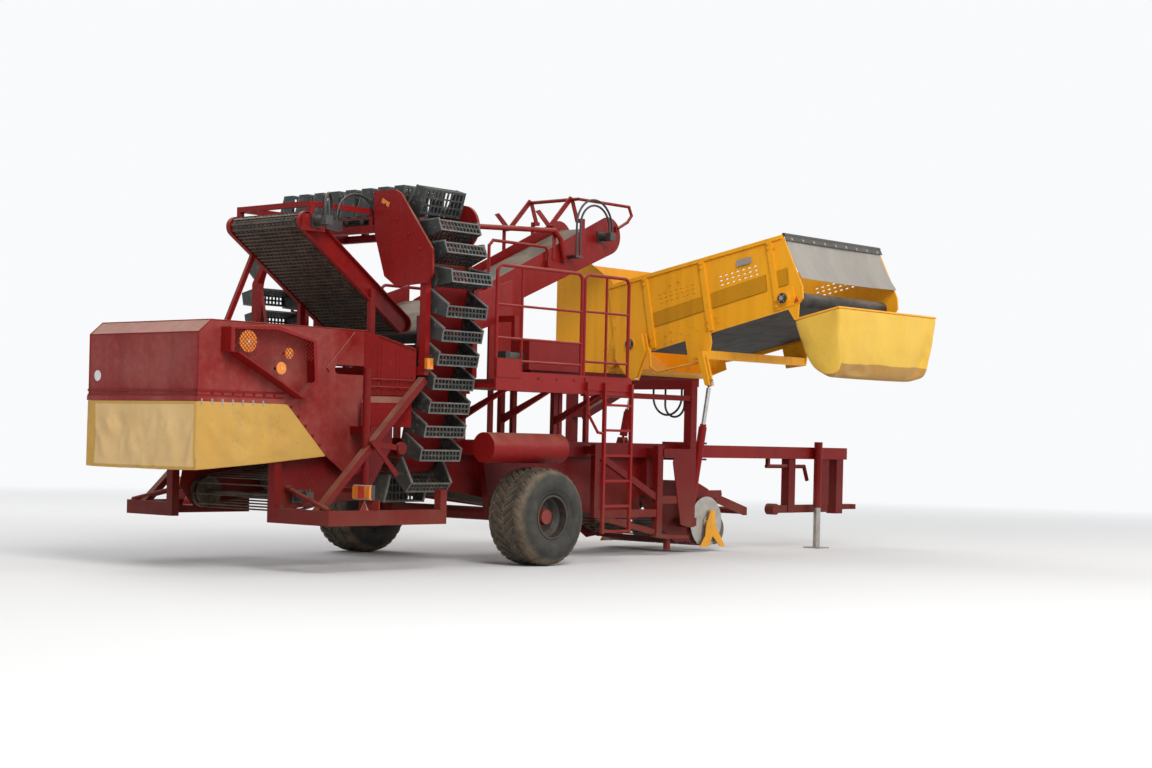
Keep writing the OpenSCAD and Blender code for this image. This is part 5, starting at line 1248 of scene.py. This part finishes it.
class HARVESTER_OT_paint(bpy.types.Operator):
    """Makes every finish and puts it on the frame's nodes"""
    bl_idname = "harvester.paint"
    bl_label = "Paint the frame"

    def execute(self, context):
        make_materials()
        finish_nodes()
        return {"FINISHED"}


class HARVESTER_OT_ring(bpy.types.Operator):
    """Builds the ring elevator's slotted pockets and chains"""
    bl_idname = "harvester.ring"
    bl_label = "Ring elevator"

    def execute(self, context):
        make_ring()
        return {"FINISHED"}


class HARVESTER_OT_tyres(bpy.types.Operator):
    """Builds both tyres with their tread"""
    bl_idname = "harvester.tyres"
    bl_label = "Tyres"

    def execute(self, context):
        make_tyre("tyre_right", "wheel_right")
        make_tyre("tyre_left", "wheel_left")
        return {"FINISHED"}


class HARVESTER_OT_canvas(bpy.types.Operator):
    """Hangs the curtain and the bag"""
    bl_idname = "harvester.canvas"
    bl_label = "Canvas"

    def execute(self, context):
        make_curtain()
        make_bag()
        return {"FINISHED"}


class HARVESTER_OT_fittings(bpy.types.Operator):
    """Builds the mesh guard, the steep web, the flap, the flared panel, the lamps, seams and bolts"""
    bl_idname = "harvester.fittings"
    bl_label = "Fittings"

    def execute(self, context):
        make_guard()
        make_steep_web()
        make_lamps()
        make_flap()
        make_flare()
        make_trim()
        make_bunker_trim()
        return {"FINISHED"}


class HARVESTER_OT_stage(bpy.types.Operator):
    """Adds the floor, the light and the camera"""
    bl_idname = "harvester.stage"
    bl_label = "Stage"

    def execute(self, context):
        make_floor()
        make_light()
        make_camera()
        bpy.context.scene.view_settings.view_transform = "Standard"
        return {"FINISHED"}


OPERATORS = (HARVESTER_OT_stage, HARVESTER_OT_paint, HARVESTER_OT_ring, HARVESTER_OT_tyres,
             HARVESTER_OT_canvas, HARVESTER_OT_fittings)


class HARVESTER_PT_panel(bpy.types.Panel):
    """Lists the harvester's colours, sizes and steps"""
    bl_label = "Harvester"
    bl_idname = "HARVESTER_PT_panel"
    bl_space_type = "VIEW_3D"
    bl_region_type = "UI"
    bl_category = "Harvester"

    def draw(self, context):
        for group in (context.scene.harvester_colours, context.scene.harvester_sizes):
            for name in group.__annotations__:
                self.layout.prop(group, name)
        for operator in OPERATORS:
            self.layout.operator(operator.bl_idname)


CLASSES = (HarvesterColours, HarvesterSizes, *OPERATORS, HARVESTER_PT_panel)


def register():
    for one in CLASSES:
        bpy.utils.register_class(one)
    bpy.types.Scene.harvester_colours = bpy.props.PointerProperty(type=HarvesterColours)
    bpy.types.Scene.harvester_sizes = bpy.props.PointerProperty(type=HarvesterSizes)


def unregister():
    del bpy.types.Scene.harvester_sizes
    del bpy.types.Scene.harvester_colours
    for one in reversed(CLASSES):
        bpy.utils.unregister_class(one)


def main():
    register()
    for operator in OPERATORS:
        getattr(bpy.ops.harvester, operator.bl_idname.split(".")[1])()


if __name__ == "__main__":
    main()
